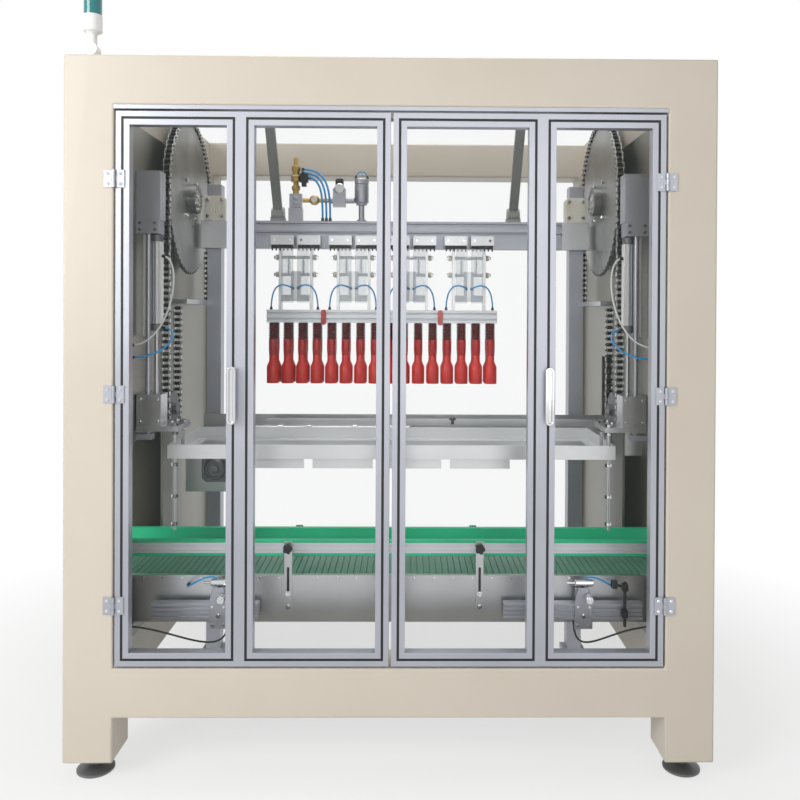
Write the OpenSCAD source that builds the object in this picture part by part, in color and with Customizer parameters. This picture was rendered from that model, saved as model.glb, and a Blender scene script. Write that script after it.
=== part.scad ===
// Automatic cartoner: a box frame with glazed swing doors, a lifting gripper head over a
// bottle table, a carton guide frame on two cylinders and a carton conveyor in front.
// Millimetres. X runs along the conveyors, front is -Y, Z is up, floor at Z = 0.

/* [Frame] */
// Overall width of the frame
frame_w = 2300; // [2200:10:2600]
// Overall depth of the frame
frame_d = 1650; // [1600:10:1900]
// Width of each column, seen from the front
column_w = 175; // [160:5:190]
// Depth of each column and cross beam
column_d = 170; // [150:5:190]
// Height of the top and bottom beams
beam_h = 175; // [160:5:200]
// Height of the door opening
opening_h = 1980; // [1940:10:2100]
// Length of leg below the bottom beam
leg_h = 160; // [140:5:200]
// Thickness of the painted outer side panels
outer_panel_t = 12; // [8:1:20]
// Thickness of the stainless inner liners
liner_t = 10; // [6:1:14]
// Step from a column's inner face back to the liner
liner_step = 25; // [15:1:40]

/* [Feet] */
// Height of a levelling foot
foot_h = 65; // [55:1:90]
// Diameter of a foot pad
foot_pad_d = 132; // [100:2:160]
// Diameter of a foot stem
foot_stem_d = 28; // [20:1:40]

/* [Signal lamp] */
// Distance of the lamp from the left edge of the frame
lamp_in = 70; // [60:1:110]
// Diameter of the lamp body
lamp_d = 66; // [50:1:80]
// Height of one lens
lens_h = 58; // [40:1:80]
// Height of the white lamp body
lamp_body_h = 58; // [40:1:80]
// Height of the folding stem under the lamp body
lamp_stem_h = 106; // [80:1:130]

/* [Doors] */
// Thickness of the door frames
door_t = 40; // [32:1:50]
// Clearance between a door and the frame around it
door_gap = 8; // [6:0.5:10]
// Height of the fixed header strip over the doors
door_head = 14; // [10:1:18]
// Gap between the two closed doors
centre_gap = 9; // [7:0.5:14]
// Width of one door profile
profile_w = 48; // [42:1:56]
// Width of the outer strip of the profile
strip_w = 19; // [14:0.5:22]
// Width of the seal groove
groove_w = 9; // [6:0.5:12]
// Depth of the seal groove
groove_depth = 6; // [3:0.5:10]
// Width of the outer bay of each door
outer_bay_w = 436; // [400:2:480]
// Thickness of the glass
glass_t = 5; // [4:0.5:8]
// Depth of the glass behind the door face
glass_in = 22; // [16:1:28]
// Reach of the handles in front of the door
handle_reach = 36; // [30:1:45]
// Width of a handle
handle_w = 30; // [24:1:36]
// Length of a handle
handle_l = 203; // [160:1:240]
// Thickness of the handle grip
handle_t = 13; // [10:0.5:18]
// Height of the middle of a handle
handle_z = 1365; // [1200:5:1500]

/* [Hinges] */
// Height of one hinge
hinge_h = 62; // [50:1:80]
// Width of one hinge leaf
hinge_leaf_w = 28; // [22:1:36]
// Thickness of a hinge leaf
hinge_leaf_t = 4; // [3:0.5:5]
// Radius of a hinge knuckle
knuckle_r = 6.5; // [5.5:0.25:7]
// Radius of a hinge pin
pin_r = 3; // [2:0.25:4]
// Running clearance at pins and rods
run_gap = 0.3; // [0.2:0.05:0.4]
// Heights of the hinges on each door
hinge_zs = [623, 1365, 2120];

/* [Lift drive] */
// Radius of the big chain sprockets
sprocket_r = 345; // [300:5:350]
// Thickness of the sprockets
sprocket_t = 16; // [10:1:20]
// Depth of the sprocket centres behind the front
sprocket_y = 900; // [880:5:910]
// Height of the sprocket centres
sprocket_z = 2173; // [2150:5:2185]
// Distance from the liner to the middle of the sprocket
sprocket_off = 50; // [44:1:56]
// Radius of the sprocket hubs
hub_r = 66; // [50:1:90]
// Reach of the hub on the inner side
hub_reach = 34; // [20:1:36]
// Width of the chains
chain_w = 38; // [30:1:40]
// Thickness of the chains
chain_t = 18; // [12:1:22]
// Radius of the lower idlers
idler_r = 76; // [60:1:80]
// Height of the lower idlers
idler_z = 1240; // [1235:1:1300]
// Height of the chain anchor shelf
shelf_z = 1690; // [1600:5:1720]
// Thickness of the anchor shelf
shelf_t = 20; // [14:1:26]
// Clearance between the chain and what it runs on
chain_gap = 1; // [0.5:0.1:1.5]

/* [Lift columns] */
// Width of a guide column
lift_col_w = 67; // [60:1:72]
// Depth of a guide column
lift_col_d = 70; // [60:1:80]
// Distance from the wall to a column's middle
lift_col_off = 127; // [124:1:132]
// Depth of a column's front face behind the machine's front
lift_col_y = 1062; // [1060:1:1080]
// Height of the columns
lift_col_h = 2267; // [2230:5:2320]

/* [Gripper head] */
// Height of the underside of the head beam
head_z = 1958; // [1940:2:1970]
// Height of the head beam
head_beam_h = 132; // [110:2:140]
// Depth of the head beam
head_beam_d = 50; // [40:1:52]
// Clearance between the head and its guide columns
head_gap = 5; // [5:0.5:7]
// Thickness of the front shoe plates
shoe_t = 45; // [35:1:48]
// Thickness of the side shoes
side_shoe_t = 12; // [8:1:13]
// Reach of an end carriage past its inner shoe
shoe_in = 28; // [20:1:32]
// Height of the bearing blocks
bearing_h = 116; // [80:2:120]
// Sideways place of the gripper bank
bank_x = -60; // [-80:1:-20]
// Number of gripper groups
groups = 4; // [2:1:4]
// Distance between groups
group_pitch = 270; // [268:1:280]
// Grippers across one group
group_n = 4; // [3:1:4]
// Distance between grippers
gripper_pitch = 67.5; // [66:0.5:68]
// Distance between the two gripper rows
row_pitch = 68; // [66:0.5:72]
// Depth of the front gripper row behind the machine's front
row_y = 927; // [920:1:930]
// Height of the underside of the gripper bars
bar_z = 1607; // [1590:1:1620]
// Height of the gripper bars
bar_h = 60; // [50:1:70]
// Length of one gripper bar
bar_l = 258; // [240:1:262]
// Radius of a gripper bell
bell_r = 29; // [26:0.5:30]
// Height of a gripper bell
bell_h = 89; // [70:1:100]
// Radius of the mouth of a gripper bell
mouth_r = 23; // [20:0.5:24]
// Depth of the mouth
mouth_h = 100; // [80:1:110]
// Height of the neck above the bell
neck_h = 43; // [30:1:50]
// Height of the sleeve above the neck
sleeve_h = 72; // [60:1:80]
// Radius of the sleeve
sleeve_r = 20; // [18:0.5:23]
// Height of the bellows above the sleeve
bellows_h = 77; // [60:1:80]
// Radius of the bellows
bellows_r = 21; // [18:0.5:23]

/* [Gripper hangers] */
// Distance from a group's middle to its hanger plates
hanger_plate_x = 72; // [68:1:78]
// Thickness of a hanger plate
hanger_plate_t = 12; // [8:1:14]
// Half depth of the hanger plates
hanger_half_d = 26; // [24:1:30]
// Distance from a group's middle to its carriage blocks
carriage_x = 62; // [60:1:64]
// Half width of a carriage block
carriage_half_w = 54; // [50:1:56]
// Height of a carriage block
carriage_h = 44; // [38:1:48]
// Radius of the cross rods
cross_rod_r = 8; // [6:0.5:9]
// Half length of the cross rods
cross_rod_half = 96; // [90:1:100]
// Heights of the cross rods above the bars
cross_rod_zs = [165, 245];
// Width and depth of the air block in the middle of a hanger
hanger_block = 44; // [36:1:48]

/* [Air unit] */
// Place of the valve post along the beam
valve_x = -478; // [-490:1:-470]
// Half width of the valve manifold
manifold_half_w = 33; // [28:1:36]
// Height of the valve manifold
manifold_h = 130; // [115:1:135]
// Half depth of the manifold and the regulator
air_half_d = 22; // [18:1:24]
// Radius of the valve body
valve_r = 20; // [16:1:22]
// Radius of the valve collar
valve_collar_r = 26; // [24:1:28]
// Radius of the pipe on top of the valve
valve_pipe_r = 14; // [10:1:16]
// Heights of the collar's foot, the collar's top and the pipe's top above the beam
valve_zs = [205, 260, 302];
// Height of the air pipe above the beam
air_pipe_rise = 100; // [95:1:110]
// Radius of the air pipe
air_pipe_r = 11; // [8:0.5:13]
// Place of the regulator along the beam
regulator_x = -270; // [-274:1:-266]
// Half width of the regulator
regulator_half_w = 30; // [26:1:32]
// Height of the regulator's top above the air pipe
regulator_h = 62; // [56:1:66]
// Radius of the regulator's gauge
gauge_r = 24; // [20:1:26]
// Place of the small gauge along the beam
small_gauge_x = -388; // [-392:1:-384]
// Radius of the small gauge
small_gauge_r = 22; // [18:1:23]
// Place of the filter cup along the beam
cup_x = -164; // [-170:1:-160]
// Radius of the filter cup
cup_r = 34; // [32:1:36]
// Height of the cup's top, and of the regulator's knob, above the air pipe
cup_top = 104; // [98:1:110]

/* [Hoses] */
// Radius of the small air hoses and cables
hose_r = 3.5; // [3:0.5:4]
// Radius of the loop on the filter cup
loop_r = 3; // [2.5:0.25:3.5]
// Radius of the air supply hoses
air_hose_r = 5; // [4:0.5:6]
// Gap left between a hose end and the face it meets
hose_gap = 0.5; // [0.3:0.1:0.8]

/* [Head yoke] */
// Distance of each yoke arm from the middle
arm_x = 562; // [540:1:580]
// Thickness of a yoke arm
arm_t = 42; // [36:1:48]
// Forward lean of the yoke from its foot to its top
arm_lean = 276; // [260:1:290]
// Rise of the yoke from its foot to its top
arm_rise = 406; // [390:1:420]
// Radius of the cross tube
cross_tube_r = 25; // [20:1:30]

/* [Guide frame] */
// Gap between the carton guide frame and each wall
guide_side_gap = 128; // [124:1:140]
// Front of the guide frame behind the machine's front
guide_y = 300; // [296:1:304]
// Depth of the guide frame
guide_d = 490; // [470:1:500]
// Height of the underside of the guide frame
guide_z = 1085; // [1080:1:1090]
// Height of the guide frame
guide_h = 55; // [45:1:60]
// Thickness of the guide frame sheet
guide_t = 4; // [3:0.5:6]
// Width of the inner flange
guide_flange = 40; // [36:1:46]
// Height of the lift plates
lift_plate_z = 1190; // [1186:1:1194]
// Thickness of the lift plates
lift_plate_t = 20; // [16:1:22]
// Height of the guide blocks
block_h = 122; // [100:1:130]
// Radius of the guide rods
rod_r = 10; // [8:0.5:12]
// Radius of the piston rods
piston_r = 8; // [6:0.5:9]
// Radius of the cylinders
cylinder_r = 20; // [18:0.5:22]
// Radius of the hanger rods
hanger_r = 7; // [5:0.5:8]
// Upward travel of the guide frame
guide_lift = 80; // [60:5:100]
// Width of a guide block and its wall gap
lift_block_w = 100; // [96:1:104]
// Distance from the wall to the guide rod
rod_off = 42; // [40:1:44]
// Depth of the guide rod behind the front face
rod_y = 337; // [335:1:339]
// Distance from the wall to the piston rod
piston_off = 66; // [64:1:68]
// Depth of the piston rod behind the front face
piston_y = 366; // [364:1:368]
// Height of the cylinder's lower end
cylinder_z = 1580; // [1560:5:1600]
// Height of the wall mount's underside
mount_z = 1960; // [1940:5:1980]
// Height of the wall mount
mount_h = 54; // [48:1:60]
// Height of the cover box above each cylinder
cover_h = 190; // [160:5:200]

/* [Carton conveyor] */
// Front of the carton conveyor behind the machine's front
carton_y = 290; // [288:1:292]
// Width of the carton conveyor
carton_w = 330; // [328:1:340]
// Height of the underside of the carton conveyor
carton_z = 455; // [450:1:460]
// Height of the side plates
carton_plate_h = 162; // [150:1:166]
// Thickness of the side plates
carton_plate_t = 8; // [6:0.5:10]
// Height of the edge rails above the side plates
carton_edge_h = 19; // [14:1:24]
// Width of the edge rails
carton_edge_w = 22; // [16:1:26]
// Height of the underside of the front guide rail
rail_z = 702; // [695:1:710]
// Height of the front guide rail
rail_h = 62; // [50:1:66]
// Thickness of the guide rails
rail_t = 24; // [16:1:26]
// Distance from the conveyor's sides to the guide rails
rail_in = 30; // [28:1:34]
// Sideways places of the guide brackets
bracket_xs = [-400, 342];
// Width of a guide bracket
bracket_w = 30; // [24:1:40]
// Thickness of a guide bracket
bracket_t = 6; // [4:0.5:8]

/* [Stop units] */
// Height of the underside of the stop profiles
stop_z = 487; // [480:1:495]
// Height of the stop profiles
stop_h = 62; // [50:1:66]
// Depth of the stop profiles
stop_d = 40; // [30:1:44]
// Stand-off between the stop profiles and the conveyor
stop_off = 25; // [20:1:30]
// Gaps between the walls and the outer ends of the left and right stop profiles
stop_wall_gaps = [89, 40];
// Inner ends of the left and right stop profiles
stop_inner_xs = [-504, 430];
// Sideways places of the slotted plates
stop_plate_xs = [-655, 733];
// Half width of a stop unit's plate
stop_plate_half_w = 34; // [30:1:36]
// Thickness of a stop unit's plate
stop_plate_t = 6; // [4:0.5:8]
// Height of a stop unit's plate above its profile
stop_plate_up = 62; // [56:1:66]
// Reach of a stop unit's plate below its profile
stop_plate_down = 32; // [24:1:34]
// Half width of the block on a stop profile
stop_block_half_w = 26; // [22:1:28]
// Height of the block on a stop profile
stop_block_h = 50; // [44:1:54]

/* [Bottle table] */
// Front of the bottle table behind the machine's front
table_y = 876; // [870:1:880]
// Depth of the bottle table
table_d = 170; // [166:1:174]
// Height of the belt top
table_z = 1105; // [1100:1:1110]
// Height of the table's bed
bed_h = 85; // [70:1:90]
// Thickness of the belt
belt_t = 20; // [14:1:24]
// Thickness of the side lips and guides
lip_t = 8; // [6:0.5:9]
// Height of the bottle guides
bottle_guide_h = 62; // [40:1:66]
// Gap between the left wall and the end of the bottle table
table_end_gap = 85; // [60:5:100]
// Width of a table pedestal
pedestal_w = 50; // [40:1:70]
// Distance of the pedestals from the middle
pedestal_x = 715; // [690:1:740]

/* [Side doorways] */
// Corner radius of the carton doorways
doorway_r = 40; // [20:1:60]
// Room in front of the carton conveyor
doorway_front = 35; // [25:1:45]
// Room behind the carton conveyor
doorway_rear = 55; // [40:1:70]
// Height of the carton doorways above the guide frame's underside
doorway_above = 65; // [60:1:90]
// Height of the bottle doorway above the bottle belt
bottle_door_h = 345; // [320:5:380]

/* [Hidden] */
$fn = 48;
inner_x = frame_w / 2 - column_w;
wall_x = inner_x + liner_step;
bottom_z = foot_h + leg_h;
opening_z = bottom_z + beam_h;
top_z = opening_z + opening_h;
frame_top = top_z + beam_h;
front_y = -(frame_d - handle_reach) / 2;
rear_y = frame_d - column_d;
leaf_out = inner_x - door_gap;
bay_split = leaf_out - outer_bay_w;
leaf_in = centre_gap / 2;
leaf_h = opening_h - door_head - 2 * door_gap;
leaf_z = opening_z + door_gap;
seat_gap = 0.3;
hinge_x = inner_x - door_gap / 2;
hinge_y = -knuckle_r - 0.5;
sprocket_x = wall_x - sprocket_off;
lift_col_x = wall_x - lift_col_off;
guide_half_w = wall_x - guide_side_gap;
table_x = table_end_gap - wall_x;
stop_ends = [[stop_wall_gaps[0] - wall_x, stop_inner_xs[0]], [stop_inner_xs[1], wall_x - stop_wall_gaps[1]]];
chain_in_r = sprocket_r + chain_gap;
chain_out_r = chain_in_r + chain_t;
strand_front = sprocket_y - chain_out_r;
idler_y = strand_front + chain_t + chain_gap + idler_r;
return_y = idler_y + idler_r + chain_gap;
shelf_y = return_y - 4;
head_y = lift_col_y - head_gap - shoe_t;
head_half = lift_col_x - lift_col_w / 2 - head_gap - side_shoe_t - shoe_in;
head_top = head_z + head_beam_h;
bank_y = row_y + row_pitch / 2;
bar_d = row_pitch + 2 * sleeve_r + 4;
bar_top = bar_z + bar_h;
arm_foot_z = head_top + 34;
air_pipe_z = head_top + air_pipe_rise;
block_x = wall_x - lift_block_w;
rod_x = wall_x - rod_off;
piston_x = wall_x - piston_off;
track_y = carton_y + rail_in + rail_t;
rear_rail_y = carton_y + carton_w - rail_in - rail_t;
beam_mid_y = head_y + head_beam_d / 2;
hanger_front = bank_y - hanger_block / 2 - hose_gap;
bar_front = bank_y - bar_d / 2 + 5;
valve_side = valve_x + valve_collar_r + hose_gap;
loop_z = air_pipe_z + cup_top + hose_gap;
port_x = piston_x - cylinder_r - hose_gap;
hose_wall = wall_x - hose_gap;
unit_mid = carton_y - stop_off - stop_d / 2;
unit_low = stop_z - hose_gap;
unit_top = stop_z + stop_h + stop_block_h + hose_gap;
plate_front = carton_y - hose_gap;
stop_sides = [-1, 1];
cable_xs = [stop_plate_xs[0] + 35, stop_plate_xs[1] - 34];
supply_n = 3;
ring_step = 2.5;

// Hose routes, each as the start, the two handles and the end of one cubic curve
function gripper_route(x, s) = [[x + s * 12, hanger_front, bar_top + 100],
    [x + s * 12, hanger_front - 80, bar_top + 100], [x + s * 108, bar_front, bar_top + 170],
    [x + s * 108, bar_front, bar_top + hose_gap]];
function supply_route(x, z) = [[valve_side, beam_mid_y, z], [x - 10, beam_mid_y, z],
    [x, beam_mid_y - 24, head_top + 150], [x, beam_mid_y - 20, head_top + hose_gap]];
loop_route = [[cup_x - 28, beam_mid_y, loop_z], [cup_x - 28, beam_mid_y, loop_z + 45],
    [cup_x + 28, beam_mid_y, loop_z + 45], [cup_x + 28, beam_mid_y, loop_z]];
cylinder_route = [[port_x, piston_y, 1876], [port_x - 90, piston_y, 1876],
    [hose_wall - 160, 258, 1526], [hose_wall, 258, 1526]];
return_route = [[port_x, piston_y, 1592], [port_x - 90, piston_y, 1592],
    [hose_wall - 150, 262, 1480], [hose_wall, 262, 1480]];
function stop_cable_route(x, s) = [[x, unit_mid, unit_low], [x, unit_mid, unit_low - 186],
    [s * (hose_wall - 180), unit_mid - 40, 470], [s * hose_wall, unit_mid - 40, 470]];
function stop_hose_route(x, s) = [[x, unit_mid, unit_top], [x, unit_mid, unit_top + 110],
    [x + s * 130, plate_front - 110, 600], [x + s * 130, plate_front, 600]];

module place() translate([0, front_y, 0]) children();
module both() { children(); mirror([1, 0, 0]) children(); }
module block(x0, x1, y0, y1, z0, z1) translate([x0, y0, z0]) cube([x1 - x0, y1 - y0, z1 - z0]);
module along_x(r, x0, x1, y, z) translate([x0, y, z]) rotate([0, 90, 0]) cylinder(r = r, h = x1 - x0);
module along_y(r, x, y0, y1, z) translate([x, y0, z]) rotate([-90, 0, 0]) cylinder(r = r, h = y1 - y0);
module along_z(r, x, y, z0, z1) translate([x, y, z0]) cylinder(r = r, h = z1 - z0);

module column_pair(y0) {
    both() block(inner_x, frame_w / 2, y0, y0 + column_d, foot_h, frame_top);
}
module beam_pair(y0) {
    block(-inner_x, inner_x, y0, y0 + column_d, top_z, frame_top);
    block(-inner_x, inner_x, y0, y0 + column_d, bottom_z, opening_z);
}
module front_columns() color("wheat") place() column_pair(0);
module rear_columns() color("wheat") place() column_pair(rear_y);
module front_beams() color("wheat") place() beam_pair(0);
module rear_beams() color("wheat") place() beam_pair(rear_y);
module side_rails() color("wheat") place() both() {
    block(wall_x, frame_w / 2, column_d, rear_y, top_z, frame_top);
    block(wall_x, frame_w / 2, column_d, rear_y, bottom_z, opening_z);
}

// Rounded doorway for the cartons and square one for the bottles, cut through a side wall
module carton_doorway(x0, x1) {
    y0 = carton_y - doorway_front;
    y1 = carton_y + carton_w + doorway_rear;
    z1 = guide_z + doorway_above;
    r = doorway_r;
    block(x0, x1, y0, y1, carton_z - 10, z1 - r);
    block(x0, x1, y0 + r, y1 - r, carton_z - 10, z1);
    along_x(r, x0, x1, y0 + r, z1 - r);
    along_x(r, x0, x1, y1 - r, z1 - r);
}
module bottle_doorway(x0, x1) {
    block(x0, x1, table_y - 12, table_y + table_d + 12, table_z - belt_t - bed_h, table_z + bottle_door_h);
}
module wall_sheet(x0, x1) block(x0, x1, column_d, rear_y, opening_z, top_z);
module outer_panels() color("wheat") place() {
    x0 = frame_w / 2 - outer_panel_t;
    x1 = frame_w / 2;
    difference() {
        wall_sheet(x0, x1);
        carton_doorway(x0 - 1, x1 + 1);
        bottle_doorway(x0 - 1, x1 + 1);
    }
    mirror([1, 0, 0]) difference() {
        wall_sheet(x0, x1);
        carton_doorway(x0 - 1, x1 + 1);
    }
}
module side_liners() color("silver") place() {
    x1 = wall_x + liner_t;
    difference() {
        wall_sheet(wall_x, x1);
        carton_doorway(wall_x - 1, x1 + 1);
        bottle_doorway(wall_x - 1, x1 + 1);
    }
    mirror([1, 0, 0]) difference() {
        wall_sheet(wall_x, x1);
        carton_doorway(wall_x - 1, x1 + 1);
    }
}
module foot() {
    pad_r = foot_pad_d / 2;
    stem_r = foot_stem_d / 2;
    rotate_extrude() polygon([[0, 0], [pad_r, 0], [pad_r, 10], [pad_r - 6, 16],
        [stem_r + 14, 26], [stem_r + 8, 40], [stem_r, 40], [stem_r, foot_h], [0, foot_h]]);
}
module levelling_feet() color("gray") place() {
    for (x = [-1, 1], y = [column_d / 2, frame_d - column_d / 2])
        translate([x * (frame_w / 2 - column_w / 2), y, 0]) foot();
}

module lamp_at(z) place() translate([-frame_w / 2 + lamp_in, column_d / 2, z]) children();
module signal_stand() color("whitesmoke") lamp_at(frame_top) {
    rotate_extrude() polygon([[0, 0], [34, 0], [34, 7], [15, 10], [15, lamp_stem_h - 12],
        [24, lamp_stem_h - 4], [lamp_d / 2, lamp_stem_h], [lamp_d / 2, lamp_stem_h + lamp_body_h],
        [0, lamp_stem_h + lamp_body_h]]);
    translate([0, 0, 40]) rotate([90, 0, 0]) cylinder(r = 22, h = 44, center = true);
}
module lens(n, c) color(c) lamp_at(frame_top + lamp_stem_h + lamp_body_h + n * lens_h)
    cylinder(d = lamp_d - 3, h = lens_h);
module signal_green() lens(0, "green");
module signal_amber() lens(1, "orange");
module signal_red() {
    lens(2, "red");
    lamp_at(frame_top + lamp_stem_h + lamp_body_h + 3 * lens_h) color("red") cylinder(d = lamp_d, h = 10);
}

module lift_columns() color("lightgray") place() both() {
    x0 = lift_col_x - lift_col_w / 2;
    block(x0, x0 + lift_col_w, lift_col_y, lift_col_y + lift_col_d, 25, lift_col_h);
    block(x0 - 20, x0 + lift_col_w + 20, lift_col_y - 5, lift_col_y + lift_col_d + 20, 0, 25);
}

// Chain sprockets on stub shafts from the liners
module sprockets() color("dimgray") place() both() {
    teeth = 60;
    root_r = sprocket_r - 12;
    translate([sprocket_x, sprocket_y, sprocket_z]) rotate([90, 0, 90]) {
        translate([0, 0, -sprocket_t / 2]) linear_extrude(sprocket_t)
            polygon([for (i = [0 : teeth - 1], k = [0 : 3])
                let (a = (i + [0, 0.3, 0.45, 0.85][k]) * 360 / teeth,
                    r = k < 1 || k > 2 ? root_r : sprocket_r)
                [r * cos(a), r * sin(a)]]);
        translate([0, 0, -sprocket_t / 2 - hub_reach]) cylinder(r = hub_r, h = hub_reach);
        translate([0, 0, sprocket_t / 2]) cylinder(r = hub_r - 10, h = sprocket_off - sprocket_t / 2);
    }
}
module lift_chains() color("black") place() both() {
    x0 = sprocket_x - chain_w / 2;
    x1 = sprocket_x + chain_w / 2;
    translate([sprocket_x, sprocket_y, sprocket_z]) rotate([90, 0, 90])
        translate([0, 0, -chain_w / 2]) linear_extrude(chain_w) difference() {
            circle(r = chain_out_r, $fn = 120);
            circle(r = chain_in_r, $fn = 120);
            translate([-2 * chain_out_r, -2 * chain_out_r]) square([4 * chain_out_r, 2 * chain_out_r]);
        }
    block(x0, x1, strand_front, strand_front + chain_t, idler_z + seat_gap, sprocket_z - seat_gap);
    block(x0, x1, sprocket_y + chain_in_r, sprocket_y + chain_out_r, shelf_z + shelf_t,
        sprocket_z - seat_gap);
    translate([sprocket_x, idler_y, idler_z]) rotate([90, 0, 90])
        translate([0, 0, -chain_w / 2]) linear_extrude(chain_w) difference() {
            circle(r = idler_r + chain_gap + chain_t, $fn = 72);
            circle(r = idler_r + chain_gap, $fn = 72);
            translate([-2 * idler_r, 0]) square([4 * idler_r, 2 * idler_r]);
        }
    block(x0, x1, return_y, return_y + chain_t, idler_z + seat_gap, shelf_z);
}
module chain_shelves() color("silver") place() both()
    block(lift_col_x + lift_col_w / 2, wall_x, shelf_y, sprocket_y + chain_out_r + 20,
        shelf_z, shelf_z + shelf_t);
module lower_idlers() color("dimgray") place() both() {
    along_x(idler_r, sprocket_x - 10, sprocket_x + 10, idler_y, idler_z);
    along_x(24, sprocket_x - 26, wall_x, idler_y, idler_z);
}

// Fixed half of the guide frame lift: wall mounts, cylinder and guide rod
module lift_cylinders() color("lightgray") place() both() {
    top = mount_z + mount_h;
    block(block_x + 14, wall_x, rod_y - 24, piston_y + 28, mount_z, top);
    block(block_x + 8, wall_x, rod_y - 20, piston_y + 24, top, top + cover_h);
    along_z(rod_r, rod_x, rod_y, lift_plate_z - 34, mount_z);
    block(rod_x - 20, wall_x, rod_y - 18, rod_y + 18, lift_plate_z - 34, lift_plate_z - 12);
    difference() {
        along_z(cylinder_r, piston_x, piston_y, cylinder_z, mount_z);
        along_z(piston_r + run_gap, piston_x, piston_y, cylinder_z - 1, cylinder_z + guide_lift + 60);
    }
}
// Moving half: guide blocks, lift plates and piston rods
module lift_carriages() color("silver") place() both() {
    top = lift_plate_z + lift_plate_t + block_h;
    difference() {
        union() {
            block(block_x, wall_x - 5, guide_y + 8, guide_y + 96, lift_plate_z + lift_plate_t, top);
            block(guide_half_w - 40, wall_x - 5, guide_y + 2, guide_y + 190, lift_plate_z,
                lift_plate_z + lift_plate_t);
        }
        along_z(rod_r + run_gap, rod_x, rod_y, lift_plate_z - 1, top + 1);
    }
    along_z(piston_r, piston_x, piston_y, top - 1, cylinder_z + 40);
}
module carton_guide_frame() color("silver") place() difference() {
    block(-guide_half_w, guide_half_w, guide_y, guide_y + guide_d, guide_z, guide_z + guide_h);
    block(-guide_half_w + guide_t, guide_half_w - guide_t, guide_y + guide_t,
        guide_y + guide_d - guide_t, guide_z + guide_t, guide_z + guide_h + 1);
    block(-guide_half_w + guide_flange, guide_half_w - guide_flange, guide_y + guide_flange,
        guide_y + guide_d - guide_flange, guide_z - 1, guide_z + guide_h);
}
module funnel_flaps() color("silver") place()
    for (i = [0 : groups - 1])
        translate([bank_x + (i - (groups - 1) / 2) * group_pitch, guide_y + guide_flange - 6, guide_z - 42])
            translate([-118, 0, 0]) cube([236, 3, 42]);
module hanger_rods() color("gray") place() both()
    for (y = [guide_y + 20, guide_y + 132]) {
        x = guide_half_w - guide_flange / 2 - 4;
        along_z(hanger_r, x, y, guide_z + guide_t, lift_plate_z);
        if (y < guide_y + 30) along_z(hanger_r, x, y, guide_z - 280, guide_z);
    }

module carton_conveyor_frame() color("silver") place() {
    half = frame_w / 2;
    edge_z = carton_z + carton_plate_h;
    for (s = [0, 1]) {
        y0 = s == 0 ? carton_y : carton_y + carton_w - carton_plate_t;
        e0 = s == 0 ? carton_y : carton_y + carton_w - carton_edge_w;
        block(-half, half, y0, y0 + carton_plate_t, carton_z, edge_z);
        block(-half, half, e0, e0 + carton_edge_w, edge_z - 6, edge_z + carton_edge_h);
    }
}
module conveyor_saddles() color("gray") place() both()
    block(wall_x + liner_t + 8, frame_w / 2 - outer_panel_t - 8, carton_y, carton_y + carton_w,
        opening_z, carton_z);
module carton_belt() color("dimgray") place() {
    y0 = carton_y + carton_plate_t;
    y1 = carton_y + carton_w - carton_plate_t;
    edge_z = carton_z + carton_plate_h;
    block(-frame_w / 2, frame_w / 2, y0, y1, edge_z - 46, edge_z - 6);
    block(-frame_w / 2, frame_w / 2, carton_y + carton_edge_w, carton_y + carton_w - carton_edge_w,
        edge_z - 6, edge_z + carton_edge_h - 2);
}
module front_guide_rail() color("seagreen") place()
    block(-frame_w / 2, frame_w / 2, carton_y + rail_in, track_y, rail_z, rail_z + rail_h);
module rear_guide_rail() color("seagreen") place()
    block(-frame_w / 2, frame_w / 2, rear_rail_y, rear_rail_y + rail_t, rail_z - 8, rail_z + rail_h - 18);
module guide_brackets() color("silver") place()
    for (x = bracket_xs) translate([x - bracket_w / 2, 0, 0]) {
        block(0, bracket_w, carton_y - bracket_t, carton_y, carton_z + 40, rail_z + rail_h + 4);
        block(0, bracket_w, carton_y, carton_y + rail_in, rail_z + 20, rail_z + 44);
        back = carton_y + carton_w;
        block(0, bracket_w, back, back + bracket_t, carton_z + 40, rail_z + rail_h - 20);
        block(0, bracket_w, rear_rail_y + rail_t, back, rail_z + 8, rail_z + 32);
    }
module stop_units() color("lightgray") place()
    for (i = [0, 1]) {
        y1 = carton_y - stop_off;
        ends = stop_ends[i];
        px = stop_plate_xs[i];
        block(ends[0], ends[1], y1 - stop_d, y1, stop_z, stop_z + stop_h);
        for (x = [ends[0] + 40, ends[1] - 80])
            block(x, x + 40, y1, carton_y, stop_z + 10, stop_z + stop_h - 10);
        block(px - stop_plate_half_w, px + stop_plate_half_w, y1 - stop_d - stop_plate_t, y1 - stop_d,
            stop_z - stop_plate_down, stop_z + stop_h + stop_plate_up);
        block(px - stop_block_half_w, px + stop_block_half_w, y1 - stop_d, y1 - 2,
            stop_z + stop_h, stop_z + stop_h + stop_block_h);
    }

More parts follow.
